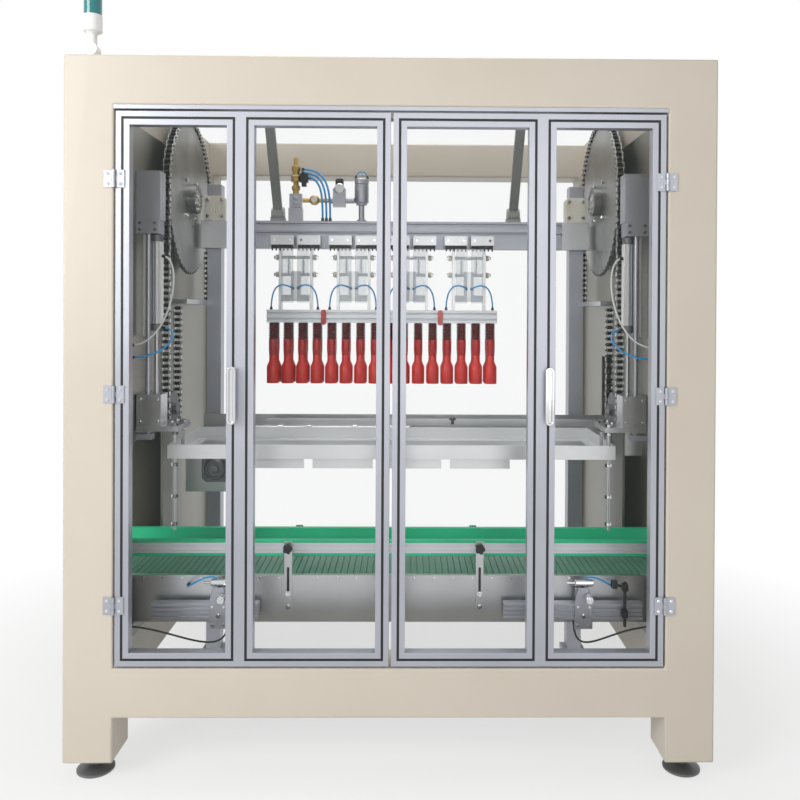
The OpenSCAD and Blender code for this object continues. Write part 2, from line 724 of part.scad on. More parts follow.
module bottle_bed() color("silver") place() {
    bed_z = table_z - belt_t - bed_h;
    y1 = table_y + table_d;
    difference() {
        block(table_x, frame_w / 2, table_y, y1, bed_z, table_z);
        block(table_x - 1, frame_w / 2 + 1, table_y + lip_t, y1 - lip_t, table_z - belt_t, table_z + 1);
    }
    block(table_x - 42, table_x + 202, table_y, table_y + lip_t, bed_z - 170, bed_z);
    along_y(46, table_x + 96, table_y - 16, table_y, bed_z - 63);
}
module bottle_pedestals() color("silver") place()
    for (s = [-1, 1]) block(s * pedestal_x - pedestal_w / 2, s * pedestal_x + pedestal_w / 2,
        table_y + 12, table_y + table_d - 12, 0, table_z - belt_t - bed_h);
module bottle_belt() color("dimgray") place()
    block(table_x, frame_w / 2, table_y + lip_t, table_y + table_d - lip_t, table_z - belt_t, table_z);
module bottle_guides() color("silver") place() {
    y1 = table_y + table_d;
    translate([0, table_y + lip_t, 0]) rotate([90, 0, 0]) linear_extrude(lip_t / 2)
        polygon([[table_x + 295, table_z], [frame_w / 2, table_z], [frame_w / 2, table_z + bottle_guide_h],
            [table_x + 335, table_z + bottle_guide_h]]);
    block(table_x, frame_w / 2, y1 - lip_t, y1 - lip_t / 2, table_z, table_z + bottle_guide_h);
}

// Fixed hinge halves with their pins, on the front columns
module hinge_half(s) {
    for (z = hinge_zs) translate([hinge_x, hinge_y, z]) {
        leaf_y = -hinge_y - hinge_leaf_t;
        x0 = knuckle_r + 1.5;
        if (s > 0) {
            translate([x0, leaf_y, -hinge_h / 2]) cube([hinge_leaf_w, hinge_leaf_t, hinge_h]);
            for (k = [-1, 1]) translate([0, 0, k * hinge_h / 3]) {
                cylinder(r = knuckle_r, h = hinge_h / 3 - 1, center = true);
                translate([pin_r + 1, leaf_y, -hinge_h / 6 + 0.5])
                    cube([x0 - pin_r, hinge_leaf_t, hinge_h / 3 - 1]);
            }
            cylinder(r = pin_r, h = hinge_h, center = true);
        } else {
            difference() {
                union() {
                    translate([-x0 - hinge_leaf_w, leaf_y, -hinge_h / 2])
                        cube([hinge_leaf_w, hinge_leaf_t, hinge_h]);
                    cylinder(r = knuckle_r, h = hinge_h / 3 - 1, center = true);
                    translate([-x0 - 1, leaf_y, -hinge_h / 6 + 0.5])
                        cube([x0 - pin_r, hinge_leaf_t, hinge_h / 3 - 1]);
                }
                cylinder(r = pin_r + run_gap, h = hinge_h, center = true);
            }
        }
    }
}
module hinge_posts() color("gainsboro") place() both() hinge_half(1);
module door_header() color("gainsboro") place()
    block(-inner_x, inner_x, 0, door_t, top_z - door_head, top_z);

// One door leaf of two glazed bays, drawn for the right-hand side
module bay(x0, x1) {
    difference() {
        block(x0, x1, 0, door_t, leaf_z, leaf_z + leaf_h);
        block(x0 + profile_w, x1 - profile_w, -1, door_t + 1, leaf_z + profile_w,
            leaf_z + leaf_h - profile_w);
        difference() {
            block(x0 + strip_w, x1 - strip_w, -1, groove_depth, leaf_z + strip_w, leaf_z + leaf_h - strip_w);
            block(x0 + strip_w + groove_w, x1 - strip_w - groove_w, -2, groove_depth + 1,
                leaf_z + strip_w + groove_w, leaf_z + leaf_h - strip_w - groove_w);
        }
    }
}
module door_frame() {
    bay(bay_split, leaf_out);
    bay(leaf_in, bay_split);
}
module pane(x0, x1) block(x0 + profile_w + seat_gap, x1 - profile_w - seat_gap, glass_in, glass_in + glass_t,
    leaf_z + profile_w + seat_gap, leaf_z + leaf_h - profile_w - seat_gap);
module door_glass() {
    pane(bay_split, leaf_out);
    pane(leaf_in, bay_split);
}
module door_handle() {
    x = bay_split + profile_w / 2;
    z0 = handle_z - handle_l / 2;
    end = handle_l / 7;
    difference() {
        block(x - handle_w / 2, x + handle_w / 2, -handle_reach, 0, z0, z0 + handle_l);
        block(x - handle_w, x + handle_w, -handle_reach + handle_t, 1, z0 + end, z0 + handle_l - end);
    }
}
module left() place() mirror([1, 0, 0]) children();
module right() place() children();
module left_door_frame() color("gainsboro") left() door_frame();
module right_door_frame() color("gainsboro") right() door_frame();
module left_door_glass() color("lightblue", 0.3) left() door_glass();
module right_door_glass() color("lightblue", 0.3) right() door_glass();
module left_door_handle() color("silver") left() door_handle();
module right_door_handle() color("silver") right() door_handle();
module left_door_hinges() color("gainsboro") left() hinge_half(-1);
module right_door_hinges() color("gainsboro") right() hinge_half(-1);

// Gripper head
module head_beam() color("lightgray") place()
    block(-head_half, head_half, head_y, head_y + head_beam_d, head_z, head_top);
module head_carriages() color("silver") place() both() {
    col_in = lift_col_x - lift_col_w / 2;
    col_out = lift_col_x + lift_col_w / 2;
    x1 = col_out + head_gap + side_shoe_t;
    back = lift_col_y + lift_col_d;
    block(head_half, x1, head_y, head_y + shoe_t, head_z, head_top);
    block(head_half + 8, col_in - head_gap, head_y, back, head_z + 6, head_top - 6);
    block(col_out + head_gap, x1, head_y, back, head_z + 6, head_top - 6);
    block(head_half + 14, x1 - 14, head_y, head_y + shoe_t, head_top, head_top + bearing_h);
    block(lift_col_x - 24, lift_col_x + 24, head_y + shoe_t - 1, lift_col_y - run_gap,
        head_z + 24, head_top - 24);
    pad_y = lift_col_y + lift_col_d / 2;
    block(col_in - head_gap - 1, col_in - run_gap, pad_y - 20, pad_y + 20, head_z + 24, head_top - 24);
    block(col_out + run_gap, col_out + head_gap + 1, pad_y - 20, pad_y + 20, head_z + 24, head_top - 24);
}
module head_yoke() color("dimgray") place() {
    both() {
        block(arm_x - 34, arm_x + 34, beam_mid_y - 24, beam_mid_y + 24, head_top, head_top + 16);
        along_x(32, arm_x - arm_t / 2 - 8, arm_x + arm_t / 2 + 8, beam_mid_y, arm_foot_z);
        translate([arm_x - arm_t / 2, beam_mid_y, arm_foot_z]) rotate([90, 0, 90]) linear_extrude(arm_t)
            polygon([[-17, 8], [17, -8], [-arm_lean + 24, arm_rise - 8], [-arm_lean - 24, arm_rise + 12]]);
    }
    along_x(cross_tube_r, -arm_x - 40, arm_x + 40, beam_mid_y - arm_lean, arm_foot_z + arm_rise);
}
function group_x(i) = bank_x + (i - (groups - 1) / 2) * group_pitch;
module gripper_hangers() color("silver") place()
    for (i = [0 : groups - 1]) translate([group_x(i), 0, 0]) {
        y0 = bank_y - hanger_half_d;
        half = hanger_block / 2;
        rail_z0 = head_z + 12;
        for (s = [-1, 1]) {
            block(s * carriage_x - carriage_half_w, s * carriage_x + carriage_half_w, y0, head_y,
                rail_z0, rail_z0 + carriage_h);
            block(s * hanger_plate_x - hanger_plate_t / 2, s * hanger_plate_x + hanger_plate_t / 2, y0,
                bank_y + hanger_half_d, bar_top, rail_z0 + 8);
        }
        for (z = cross_rod_zs) along_x(cross_rod_r, -cross_rod_half, cross_rod_half, bank_y, bar_top + z);
        block(-half, half, bank_y - half, bank_y + half, bar_top + 54, bar_top + cross_rod_zs[0] + 15);
        block(2 - hanger_plate_x, hanger_plate_x - 2, bank_y - 6, bank_y + 2, bar_top + 40, bar_top + 70);
    }
module gripper_bars() color("whitesmoke") place()
    for (i = [0 : groups - 1]) translate([group_x(i), 0, 0])
        block(-bar_l / 2, bar_l / 2, bank_y - bar_d / 2, bank_y + bar_d / 2, bar_z, bar_top);
module gripper() {
    z3 = -bellows_h;
    z2 = z3 - sleeve_h;
    z1 = z2 - neck_h;
    z0 = z1 - bell_h;
    neck_r = sleeve_r - 2;
    rotate_extrude() polygon([[0, 0], [bellows_r, 0], [bellows_r, z3], [sleeve_r, z3], [sleeve_r, z2],
        [neck_r, z2], [neck_r, z1 + 14], [bell_r, z1 - 12], [bell_r, z0], [mouth_r, z0],
        [mouth_r, z0 + mouth_h - 26], [8, z0 + mouth_h], [0, z0 + mouth_h]]);
}
module gripper_set(i) color("crimson") place()
    if (i < groups) for (k = [0 : group_n - 1], row = [0, 1])
        translate([group_x(i) + (k - (group_n - 1) / 2) * gripper_pitch, row_y + row * row_pitch, bar_z])
            gripper();
module gripper_set_1() gripper_set(0);
module gripper_set_2() gripper_set(1);
module gripper_set_3() gripper_set(2);
module gripper_set_4() gripper_set(3);
module air_valve_post() color("silver") place() {
    y = beam_mid_y;
    block(valve_x - manifold_half_w, valve_x + manifold_half_w, y - air_half_d, y + air_half_d,
        head_top, head_top + manifold_h);
    along_z(valve_r, valve_x, y, head_top + manifold_h, head_top + valve_zs[0]);
    along_z(valve_collar_r, valve_x, y, head_top + valve_zs[0], head_top + valve_zs[1]);
    along_z(valve_pipe_r, valve_x, y, head_top + valve_zs[1], head_top + valve_zs[2]);
}
module filter_regulator() color("dimgray") place() {
    y = beam_mid_y;
    z = air_pipe_z;
    body_top = z + regulator_h;
    along_x(air_pipe_r, valve_x + manifold_half_w, cup_x - 6, y, z);
    block(regulator_x - regulator_half_w, regulator_x + regulator_half_w, y - air_half_d, y + air_half_d,
        z - 30, body_top);
    along_z(air_half_d, regulator_x, y, body_top, z + cup_top);
    along_y(gauge_r, regulator_x + 3, y - air_half_d - gauge_r, y - air_half_d, body_top - 10);
    along_z(cup_r, cup_x, y, z - 20, z + cup_top);
    along_z(valve_pipe_r, cup_x, y, head_top, z - 20);
    along_y(small_gauge_r, small_gauge_x, y - 34, y, z);
}

// Air hoses and cables, swept along their routes
function curve_point(p, u) = pow(1 - u, 3) * p[0] + 3 * u * pow(1 - u, 2) * p[1]
    + 3 * u * u * (1 - u) * p[2] + u * u * u * p[3];
function curve_slope(p, u) = let (d = pow(1 - u, 2) * (p[1] - p[0]) + 2 * u * (1 - u) * (p[2] - p[1])
    + u * u * (p[3] - p[2])) d / norm(d);
function curve_length(p, n = 12) = let (steps = [for (i = [1 : n])
    norm(curve_point(p, i / n) - curve_point(p, (i - 1) / n))]) steps * [for (step = steps) 1];
module hose(p, r) {
    sides = 8;
    rings = max(sides, round(curve_length(p) / (2 * r * ring_step)));
    points = [for (i = [0 : rings], k = [0 : sides - 1])
        let (u = i / rings, along = curve_slope(p, u), across = cross(along, [0.35, 0.9, 0.25]),
            side = across / norm(across), up = cross(side, along), a = k * 360 / sides)
        curve_point(p, u) + r * (cos(a) * side + sin(a) * up)];
    walls = [for (i = [0 : rings - 1], k = [0 : sides - 1])
        let (n = (k + 1) % sides) [i * sides + k, i * sides + n, (i + 1) * sides + n, (i + 1) * sides + k]];
    polyhedron(points, concat(walls, [[for (k = [sides - 1 : -1 : 0]) k]],
        [[for (k = [0 : sides - 1]) rings * sides + k]]));
}
module head_hoses() color("dodgerblue") place() {
    for (i = [0 : groups - 1], s = [-1, 1]) hose(gripper_route(group_x(i), s), hose_r);
    for (i = [0 : supply_n - 1])
        hose(supply_route(valve_x + 166 - 18 * i, head_top + 249 - 17 * i), air_hose_r);
    hose(loop_route, loop_r);
}
module machine_hoses() color("dodgerblue") place() {
    both() {
        hose(cylinder_route, hose_r);
        hose(return_route, hose_r);
    }
    for (i = [0, 1]) {
        hose(stop_cable_route(cable_xs[i], stop_sides[i]), hose_r);
        hose(stop_hose_route(stop_plate_xs[i], stop_sides[i]), hose_r);
    }
}

front_columns();
rear_columns();
front_beams();
rear_beams();
side_rails();
outer_panels();
side_liners();
levelling_feet();
signal_stand();
signal_green();
signal_amber();
signal_red();
lift_columns();
sprockets();
lift_chains();
chain_shelves();
lower_idlers();
lift_cylinders();
carton_conveyor_frame();
conveyor_saddles();
carton_belt();
front_guide_rail();
rear_guide_rail();
guide_brackets();
stop_units();
bottle_bed();
bottle_pedestals();
bottle_belt();
bottle_guides();
door_header();
hinge_posts();
left_door_frame();
left_door_glass();
left_door_handle();
left_door_hinges();
right_door_frame();
right_door_glass();
right_door_handle();
right_door_hinges();
carton_guide_frame();
funnel_flaps();
hanger_rods();
lift_carriages();
head_beam();
head_carriages();
head_yoke();
gripper_hangers();
gripper_bars();
gripper_set_1();
gripper_set_2();
gripper_set_3();
gripper_set_4();
air_valve_post();
filter_regulator();
head_hoses();
machine_hoses();
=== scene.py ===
import math

import bmesh
import bpy
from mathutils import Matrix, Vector


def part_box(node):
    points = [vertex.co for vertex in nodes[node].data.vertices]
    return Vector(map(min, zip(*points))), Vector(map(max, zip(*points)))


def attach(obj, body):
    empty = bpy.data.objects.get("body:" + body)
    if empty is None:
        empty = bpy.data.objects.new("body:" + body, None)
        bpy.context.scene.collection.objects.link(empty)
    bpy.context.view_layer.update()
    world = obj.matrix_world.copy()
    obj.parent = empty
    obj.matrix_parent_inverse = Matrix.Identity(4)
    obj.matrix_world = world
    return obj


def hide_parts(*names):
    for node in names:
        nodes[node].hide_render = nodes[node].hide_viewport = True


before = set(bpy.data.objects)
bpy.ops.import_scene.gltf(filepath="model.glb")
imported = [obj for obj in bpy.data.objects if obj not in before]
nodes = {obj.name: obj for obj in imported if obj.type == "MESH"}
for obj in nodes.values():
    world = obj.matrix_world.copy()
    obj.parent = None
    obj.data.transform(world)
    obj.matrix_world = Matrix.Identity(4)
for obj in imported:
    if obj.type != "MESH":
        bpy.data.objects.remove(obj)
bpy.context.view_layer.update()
mm = 0.001  # the values below are in millimetres
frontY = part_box("front_columns")[0][1]  # front face of the frame


def at(x, depth, z):
    return Vector((x * mm, frontY + depth * mm, z * mm))  # depth is measured behind the front face


# Mesh helpers
def addBox(mesh, low, high):
    corners = [(x, y, z) for x in (low[0], high[0]) for y in (low[1], high[1]) for z in (low[2], high[2])]
    verts = [mesh.verts.new(c) for c in corners]
    for face in ((0, 1, 3, 2), (4, 6, 7, 5), (0, 4, 5, 1), (2, 3, 7, 6), (0, 2, 6, 4), (1, 5, 7, 3)):
        mesh.faces.new([verts[i] for i in face])


def addBlock(mesh, x, depth, z):
    addBox(mesh, at(x[0], depth[0], z[0]), at(x[1], depth[1], z[1]))


def addTurned(mesh, profile, base, direction, sides=28):
    axis = Vector(direction).normalized()
    turn = Vector((0, 0, 1)).rotation_difference(axis).to_matrix()
    rings = []
    for radius, height in profile:
        ring = []
        for i in range(sides):
            a = 2 * math.pi * i / sides
            point = Vector((radius * math.cos(a), radius * math.sin(a), height)) * mm
            ring.append(mesh.verts.new(Vector(base) + turn @ point))
        rings.append(ring)
    for lower, upper in zip(rings, rings[1:]):
        for i in range(sides):
            j = (i + 1) % sides
            mesh.faces.new((lower[i], lower[j], upper[j], upper[i]))
    mesh.faces.new(list(reversed(rings[0])))
    mesh.faces.new(rings[-1])


def addRod(mesh, start, end, radius, sides=20, chamfer=0.8):
    run = Vector(end) - Vector(start)
    length = run.length / mm
    edge = min(chamfer, radius * 0.3, length * 0.3)
    profile = [(radius - edge, 0), (radius, edge), (radius, length - edge), (radius - edge, length)]
    addTurned(mesh, profile, start, run, sides)


def addHex(mesh, base, direction, across, height):
    addTurned(mesh, [(across / 2, 0), (across / 2, height * 0.85), (across * 0.44, height)], base,
              direction, sides=6)


def addExtrude(mesh, outline, shift):
    start = [mesh.verts.new(p) for p in outline]
    end = [mesh.verts.new(p + shift) for p in outline]
    mesh.faces.new(start)
    mesh.faces.new(list(reversed(end)))
    for i in range(len(outline)):
        j = (i + 1) % len(outline)
        mesh.faces.new((start[i], end[i], end[j], start[j]))


def addPrism(mesh, outline, depth0, depth1):
    addExtrude(mesh, [at(x, depth0, z) for x, z in outline], Vector((0, (depth1 - depth0) * mm, 0)))


def addBar(mesh, section, x0, x1):
    addExtrude(mesh, [at(x0, depth, z) for depth, z in section], Vector(((x1 - x0) * mm, 0, 0)))


def addRing(mesh, outer, inner, depth0, depth1):
    loops = []
    for outline, depth in ((outer, depth0), (inner, depth0), (inner, depth1), (outer, depth1)):
        loops.append([mesh.verts.new(at(x, depth, z)) for x, z in outline])
    for k in range(4):
        a = loops[k]
        b = loops[(k + 1) % 4]
        for i in range(len(a)):
            j = (i + 1) % len(a)
            mesh.faces.new((a[i], a[j], b[j], b[i]))


def stadium(x, z, halfWidth, halfLength, steps=8):
    points = []
    for start, end in ((0, 1), (math.pi, -1)):
        for i in range(steps + 1):
            a = start + math.pi * i / steps
            points.append((x + halfWidth * math.cos(a),
                           z + end * (halfLength - halfWidth) + halfWidth * math.sin(a)))
    return points


def slotted(depths, heights, slots, width, deep):
    section = [(depths[0], heights[0])]
    for z in slots:
        section += [(depths[0], z - width / 2), (depths[0] + deep, z - width / 2),
                    (depths[0] + deep, z + width / 2), (depths[0], z + width / 2)]
    return section + [(depths[0], heights[1]), (depths[1], heights[1]), (depths[1], heights[0])]


edges = dict(bevelled=40, sharp=35, segments=2)  # angles in degrees


def makePiece(name, mesh, material, body, bevel=0.0):
    bmesh.ops.recalc_face_normals(mesh, faces=mesh.faces)
    data = bpy.data.meshes.new(name)
    mesh.to_mesh(data)
    mesh.free()
    piece = bpy.data.objects.new(name, data)
    bpy.context.scene.collection.objects.link(piece)
    data.materials.append(material)
    if bevel:
        cut = piece.modifiers.new("bevel", "BEVEL")
        cut.width = bevel * mm
        cut.segments = edges["segments"]
        cut.limit_method = "ANGLE"
        cut.angle_limit = math.radians(edges["bevelled"])
    data.shade_smooth()
    data.set_sharp_from_angle(angle=math.radians(edges["sharp"]))
    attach(piece, body)
    return piece


# Materials
plain = dict(broad=3, broadDetail=5, grain=400, grainDetail=3, bump=0.1,
             bumpDepth=0.0004)  # for looks that state none, depth in metres


def linear(rgb):
    return tuple((c / 255) ** 2.2 for c in rgb) + (1.0,)


def makeMaterial(name, look):
    material = bpy.data.materials.new(name)
    material.use_nodes = True
    tree = material.node_tree
    shader = tree.nodes["Principled BSDF"]
    place = tree.nodes.new("ShaderNodeTexCoord")
    stretch = tree.nodes.new("ShaderNodeMapping")
    stretch.inputs["Scale"].default_value = look.get("stretch", (1, 1, 1))
    tree.links.new(place.outputs["Object"], stretch.inputs["Vector"])
    broad = tree.nodes.new("ShaderNodeTexNoise")
    broad.inputs["Scale"].default_value = look.get("broad", plain["broad"])
    broad.inputs["Detail"].default_value = plain["broadDetail"]
    fine = tree.nodes.new("ShaderNodeTexNoise")
    fine.inputs["Scale"].default_value = look.get("grain", plain["grain"])
    fine.inputs["Detail"].default_value = plain["grainDetail"]
    tree.links.new(place.outputs["Object"], broad.inputs["Vector"])
    tree.links.new(stretch.outputs["Vector"], fine.inputs["Vector"])
    tint = tree.nodes.new("ShaderNodeMix")
    tint.data_type = "RGBA"
    tint.inputs["A"].default_value = linear(look["dark"])
    tint.inputs["B"].default_value = linear(look["light"])
    tree.links.new(broad.outputs["Fac"], tint.inputs["Factor"])
    tree.links.new(tint.outputs["Result"], shader.inputs["Base Color"])
    sheen = tree.nodes.new("ShaderNodeMapRange")
    sheen.inputs["To Min"].default_value = look["rough"][0]
    sheen.inputs["To Max"].default_value = look["rough"][1]
    tree.links.new(fine.outputs["Fac"], sheen.inputs["Value"])
    tree.links.new(sheen.outputs["Result"], shader.inputs["Roughness"])
    bump = tree.nodes.new("ShaderNodeBump")
    bump.inputs["Strength"].default_value = look.get("bump", plain["bump"])
    bump.inputs["Distance"].default_value = plain["bumpDepth"]
    tree.links.new(fine.outputs["Fac"], bump.inputs["Height"])
    if look.get("soften"):
        edge = tree.nodes.new("ShaderNodeBevel")
        edge.samples = 4
        edge.inputs["Radius"].default_value = look["soften"] * mm
        tree.links.new(edge.outputs["Normal"], bump.inputs["Normal"])
    tree.links.new(bump.outputs["Normal"], shader.inputs["Normal"])
    shader.inputs["Metallic"].default_value = look.get("metal", 0.0)
    shader.inputs["Coat Weight"].default_value = look.get("coat", 0.0)
    shader.inputs["Alpha"].default_value = look.get("alpha", 1.0)
    return material


looks = {
    "beige": dict(dark=(200, 190, 175), light=(209, 200, 186), rough=(0.34, 0.46), bump=0.06, grain=900,
                  soften=7, coat=0.1),
    "stainless": dict(dark=(168, 170, 172), light=(200, 202, 203), rough=(0.24, 0.42), bump=0.12, metal=1.0,
                      grain=260, stretch=(0.06, 0.06, 4), soften=1.5),
    "brushed": dict(dark=(178, 180, 182), light=(212, 213, 214), rough=(0.25, 0.42), bump=0.12, metal=1.0,
                    grain=260, stretch=(0.05, 4, 4), soften=1.2),
    "aluminium": dict(dark=(158, 160, 168), light=(182, 184, 192), rough=(0.34, 0.46), bump=0.05, metal=0.75,
                      grain=500, stretch=(4, 4, 0.05), soften=1.5),
    "paleBar": dict(dark=(200, 203, 208), light=(224, 226, 230), rough=(0.34, 0.46), bump=0.05, metal=0.5,
                    grain=500, stretch=(0.05, 4, 4), soften=1.5),
    "trough": dict(dark=(202, 204, 205), light=(228, 229, 230), rough=(0.27, 0.42), bump=0.1, metal=0.75,
                   grain=260, stretch=(0.05, 4, 4), soften=1.2),
    "cast": dict(dark=(96, 97, 99), light=(128, 129, 131), rough=(0.4, 0.56), bump=0.2, metal=0.7, grain=300,
                 soften=2),
    "yoke": dict(dark=(128, 128, 126), light=(158, 158, 155), rough=(0.34, 0.5), bump=0.12, metal=0.7,
                 grain=300, soften=3),
    "chain": dict(dark=(44, 44, 43), light=(84, 84, 82), rough=(0.26, 0.44), bump=0.12, metal=0.9, grain=500),
    "link": dict(dark=(168, 168, 166), light=(206, 206, 204), rough=(0.2, 0.36), bump=0.08, metal=0.9,
                 grain=500),
    "wheel": dict(dark=(84, 84, 82), light=(166, 166, 163), rough=(0.24, 0.42), bump=0.12, metal=0.9,
                  broad=7, grain=220, stretch=(1, 3, 0.08), soften=1),
    "sheet": dict(dark=(84, 83, 76), light=(146, 144, 134), rough=(0.24, 0.4), bump=0.1, metal=0.9, broad=1.6,
                  grain=240, stretch=(1, 0.06, 4), soften=1.5),
    "white": dict(dark=(226, 227, 226), light=(240, 240, 238), rough=(0.25, 0.36), bump=0.03),
    "greenLens": dict(dark=(4, 96, 98), light=(12, 134, 134), rough=(0.12, 0.2), bump=0.04, coat=0.6),
    "amberLens": dict(dark=(214, 138, 16), light=(236, 164, 30), rough=(0.12, 0.2), bump=0.04, coat=0.6),
    "redLens": dict(dark=(178, 24, 20), light=(206, 38, 30), rough=(0.12, 0.2), bump=0.04, coat=0.6),
    "belt": dict(dark=(128, 130, 132), light=(152, 154, 155), rough=(0.4, 0.55), bump=0.15, metal=0.6),
    "green": dict(dark=(20, 182, 126), light=(38, 206, 148), rough=(0.38, 0.5), bump=0.06, soften=2),
    "chrome": dict(dark=(205, 206, 208), light=(228, 229, 230), rough=(0.06, 0.14), bump=0.02, metal=1.0),
    "red": dict(dark=(216, 36, 32), light=(238, 58, 50), rough=(0.32, 0.44), bump=0.05, grain=700, coat=0.15),
    "bellows": dict(dark=(92, 22, 26), light=(122, 34, 38), rough=(0.36, 0.5), bump=0.08),
    "brass": dict(dark=(178, 146, 84), light=(206, 176, 110), rough=(0.22, 0.36), bump=0.06, metal=1.0),
    "grey": dict(dark=(120, 124, 130), light=(146, 150, 156), rough=(0.36, 0.5), bump=0.06),
    "black": dict(dark=(16, 16, 17), light=(30, 30, 31), rough=(0.4, 0.56), bump=0.1),
    "blue": dict(dark=(18, 140, 212), light=(44, 168, 234), rough=(0.22, 0.34), bump=0.03, coat=0.2),
    "sleeve": dict(dark=(196, 26, 30), light=(222, 48, 48), rough=(0.14, 0.24), bump=0.03, coat=0.5,
                   alpha=0.9),
    "guard": dict(dark=(214, 224, 232), light=(232, 240, 245), rough=(0.06, 0.12), bump=0.02, alpha=0.28),
    "beltGreen": dict(dark=(78, 128, 108), light=(104, 152, 132), rough=(0.4, 0.55), bump=0.1),
    "glass": dict(dark=(92, 106, 104), light=(112, 126, 124), rough=(0.02, 0.06), bump=0.01, alpha=0.045),
    "cream": dict(dark=(222, 216, 198), light=(236, 232, 218), rough=(0.4, 0.52), bump=0.06),
}
paints = {name: makeMaterial(name, look) for name, look in looks.items()}
nodePaint = {
    "beige": ("front_columns", "rear_columns", "front_beams", "rear_beams", "side_rails", "outer_panels"),
    "sheet": ("side_liners",),
    "wheel": ("sprockets",),
    "stainless": ("chain_shelves", "conveyor_saddles", "bottle_pedestals", "lift_carriages",
                  "hanger_rods"),
    "brushed": ("carton_conveyor_frame", "guide_brackets", "bottle_bed", "bottle_guides", "head_carriages",
                "gripper_hangers"),
    "trough": ("carton_guide_frame", "funnel_flaps"),
    "paleBar": ("gripper_bars",),
    "aluminium": ("lift_columns", "lift_cylinders", "stop_units", "door_header", "hinge_posts",
                  "left_door_frame", "right_door_frame", "left_door_hinges", "right_door_hinges",
                  "head_beam"),
    "cast": ("levelling_feet", "lower_idlers"),
    "yoke": ("head_yoke",),
    "chain": ("lift_chains",),
    "white": ("signal_stand",),
    "greenLens": ("signal_green",),
    "amberLens": ("signal_amber",),
    "redLens": ("signal_red",),
    "belt": ("carton_belt", "bottle_belt"),
    "green": ("front_guide_rail", "rear_guide_rail"),
    "chrome": ("left_door_handle", "right_door_handle"),
    "glass": ("left_door_glass", "right_door_glass"),
    "red": ("gripper_set_1", "gripper_set_2", "gripper_set_3", "gripper_set_4"),
    "brass": ("air_valve_post",),
    "grey": ("filter_regulator",),
    "blue": ("head_hoses",),
    "black": ("machine_hoses",),
}
for paint, members in nodePaint.items():
    for member in members:
        nodes[member].data.materials.clear()
        nodes[member].data.materials.append(paints[paint])
print("materials done")

# Hoses and cables, each along one cubic curve
hoses = dict(small=3.5, supply=5.0, loop=3.0, steps=24, collar=3.0, collarLength=14, collarEdge=1,
             collarStep=1.5, gap=0.5)


def curvePoints(control):
    points = []
    for i in range(hoses["steps"] + 1):
        u = i / hoses["steps"]
        v = 1 - u
        weights = (v ** 3, 3 * u * v * v, 3 * u * u * v, u ** 3)
        points.append(sum((w * p for w, p in zip(weights, control)), Vector((0, 0, 0))))
    return points


def makeHose(name, control, radius, paint, body, node):
    points = curvePoints([at(*p) for p in control])
    curve = bpy.data.curves.new(name, "CURVE")
    curve.dimensions = "3D"
    curve.bevel_depth = radius * mm
    curve.bevel_resolution = 4
    curve.use_fill_caps = True
    spline = curve.splines.new("POLY")
    spline.points.add(len(points) - 1)
    for knot, point in zip(spline.points, points):
        knot.co = (*point, 1)
    spline.use_smooth = True
    curve.materials.append(paints[paint])
    piece = bpy.data.objects.new(name, curve)
    bpy.context.scene.collection.objects.link(piece)
    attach(piece, body)
    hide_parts(node)
    return points


def addCollars(mesh, points, radius):
    for end, near in ((points[0], points[1]), (points[-1], points[-2])):
        outer = radius + hoses["collar"]
        long = hoses["collarLength"]
        edge = hoses["collarEdge"]
        neck = outer - hoses["collarStep"]
        profile = [(outer - edge, 0), (outer, edge), (outer, long * 0.5), (neck, long * 0.6), (neck, long)]
        addTurned(mesh, profile, end, near - end, sides=14)


headCollars = bmesh.new()
bank = dict(middle=-60, pitch=270, count=4)
groupXs = [bank["middle"] + (i - (bank["count"] - 1) / 2) * bank["pitch"] for i in range(bank["count"])]
barTop = 1667  # top of the gripper bars
headTop = 2090  # top of the head beam
bankDepth = 961  # middle of the gripper bank
beamDepth = 1037  # middle of the head beam
small = hoses["small"]
gap = hoses["gap"]
gripperRun = dict(blockHalf=22, barIn=51, portX=12, portUp=100, bow=80, dropX=108, dropUp=170)
blockFront = bankDepth - gripperRun["blockHalf"] - gap
barFront = bankDepth - gripperRun["barIn"]
for i, x in enumerate(groupXs):
    for side, s in (("Left", -1), ("Right", 1)):
        portX = x + s * gripperRun["portX"]
        dropX = x + s * gripperRun["dropX"]
        portZ = barTop + gripperRun["portUp"]
        route = ((portX, blockFront, portZ), (portX, blockFront - gripperRun["bow"], portZ),
                 (dropX, barFront, barTop + gripperRun["dropUp"]), (dropX, barFront, barTop + gap))
        line = makeHose(f"gripperHose{side}{i + 1}", route, small, "blue", "head",
                        "head_hoses")
        addCollars(headCollars, line, small)
supplyRun = dict(count=3, postX=-452, footX=-312, stepX=18, portUp=249, stepZ=17, short=10, bow=24, bowUp=150,
                 footIn=20)
for i in range(supplyRun["count"]):
    x = supplyRun["footX"] - supplyRun["stepX"] * i
    z = headTop + supplyRun["portUp"] - supplyRun["stepZ"] * i
    route = ((supplyRun["postX"] + gap, beamDepth, z), (x - supplyRun["short"], beamDepth, z),
             (x, beamDepth - supplyRun["bow"], headTop + supplyRun["bowUp"]),
             (x, beamDepth - supplyRun["footIn"], headTop + gap))
    line = makeHose(f"supplyHose{i + 1}", route, hoses["supply"], "blue", "head",
                    "head_hoses")
    addCollars(headCollars, line, hoses["supply"])
cupRun = dict(near=-192, far=-136, up=204, bow=45)
cupTop = headTop + cupRun["up"] + gap
route = ((cupRun["near"], beamDepth, cupTop), (cupRun["near"], beamDepth, cupTop + cupRun["bow"]),
         (cupRun["far"], beamDepth, cupTop + cupRun["bow"]), (cupRun["far"], beamDepth, cupTop))
line = makeHose("cupLoop", route, hoses["loop"], "blue", "head", "head_hoses")
addCollars(headCollars, line, hoses["loop"])
makePiece("headCollars", headCollars, paints["black"], "head")

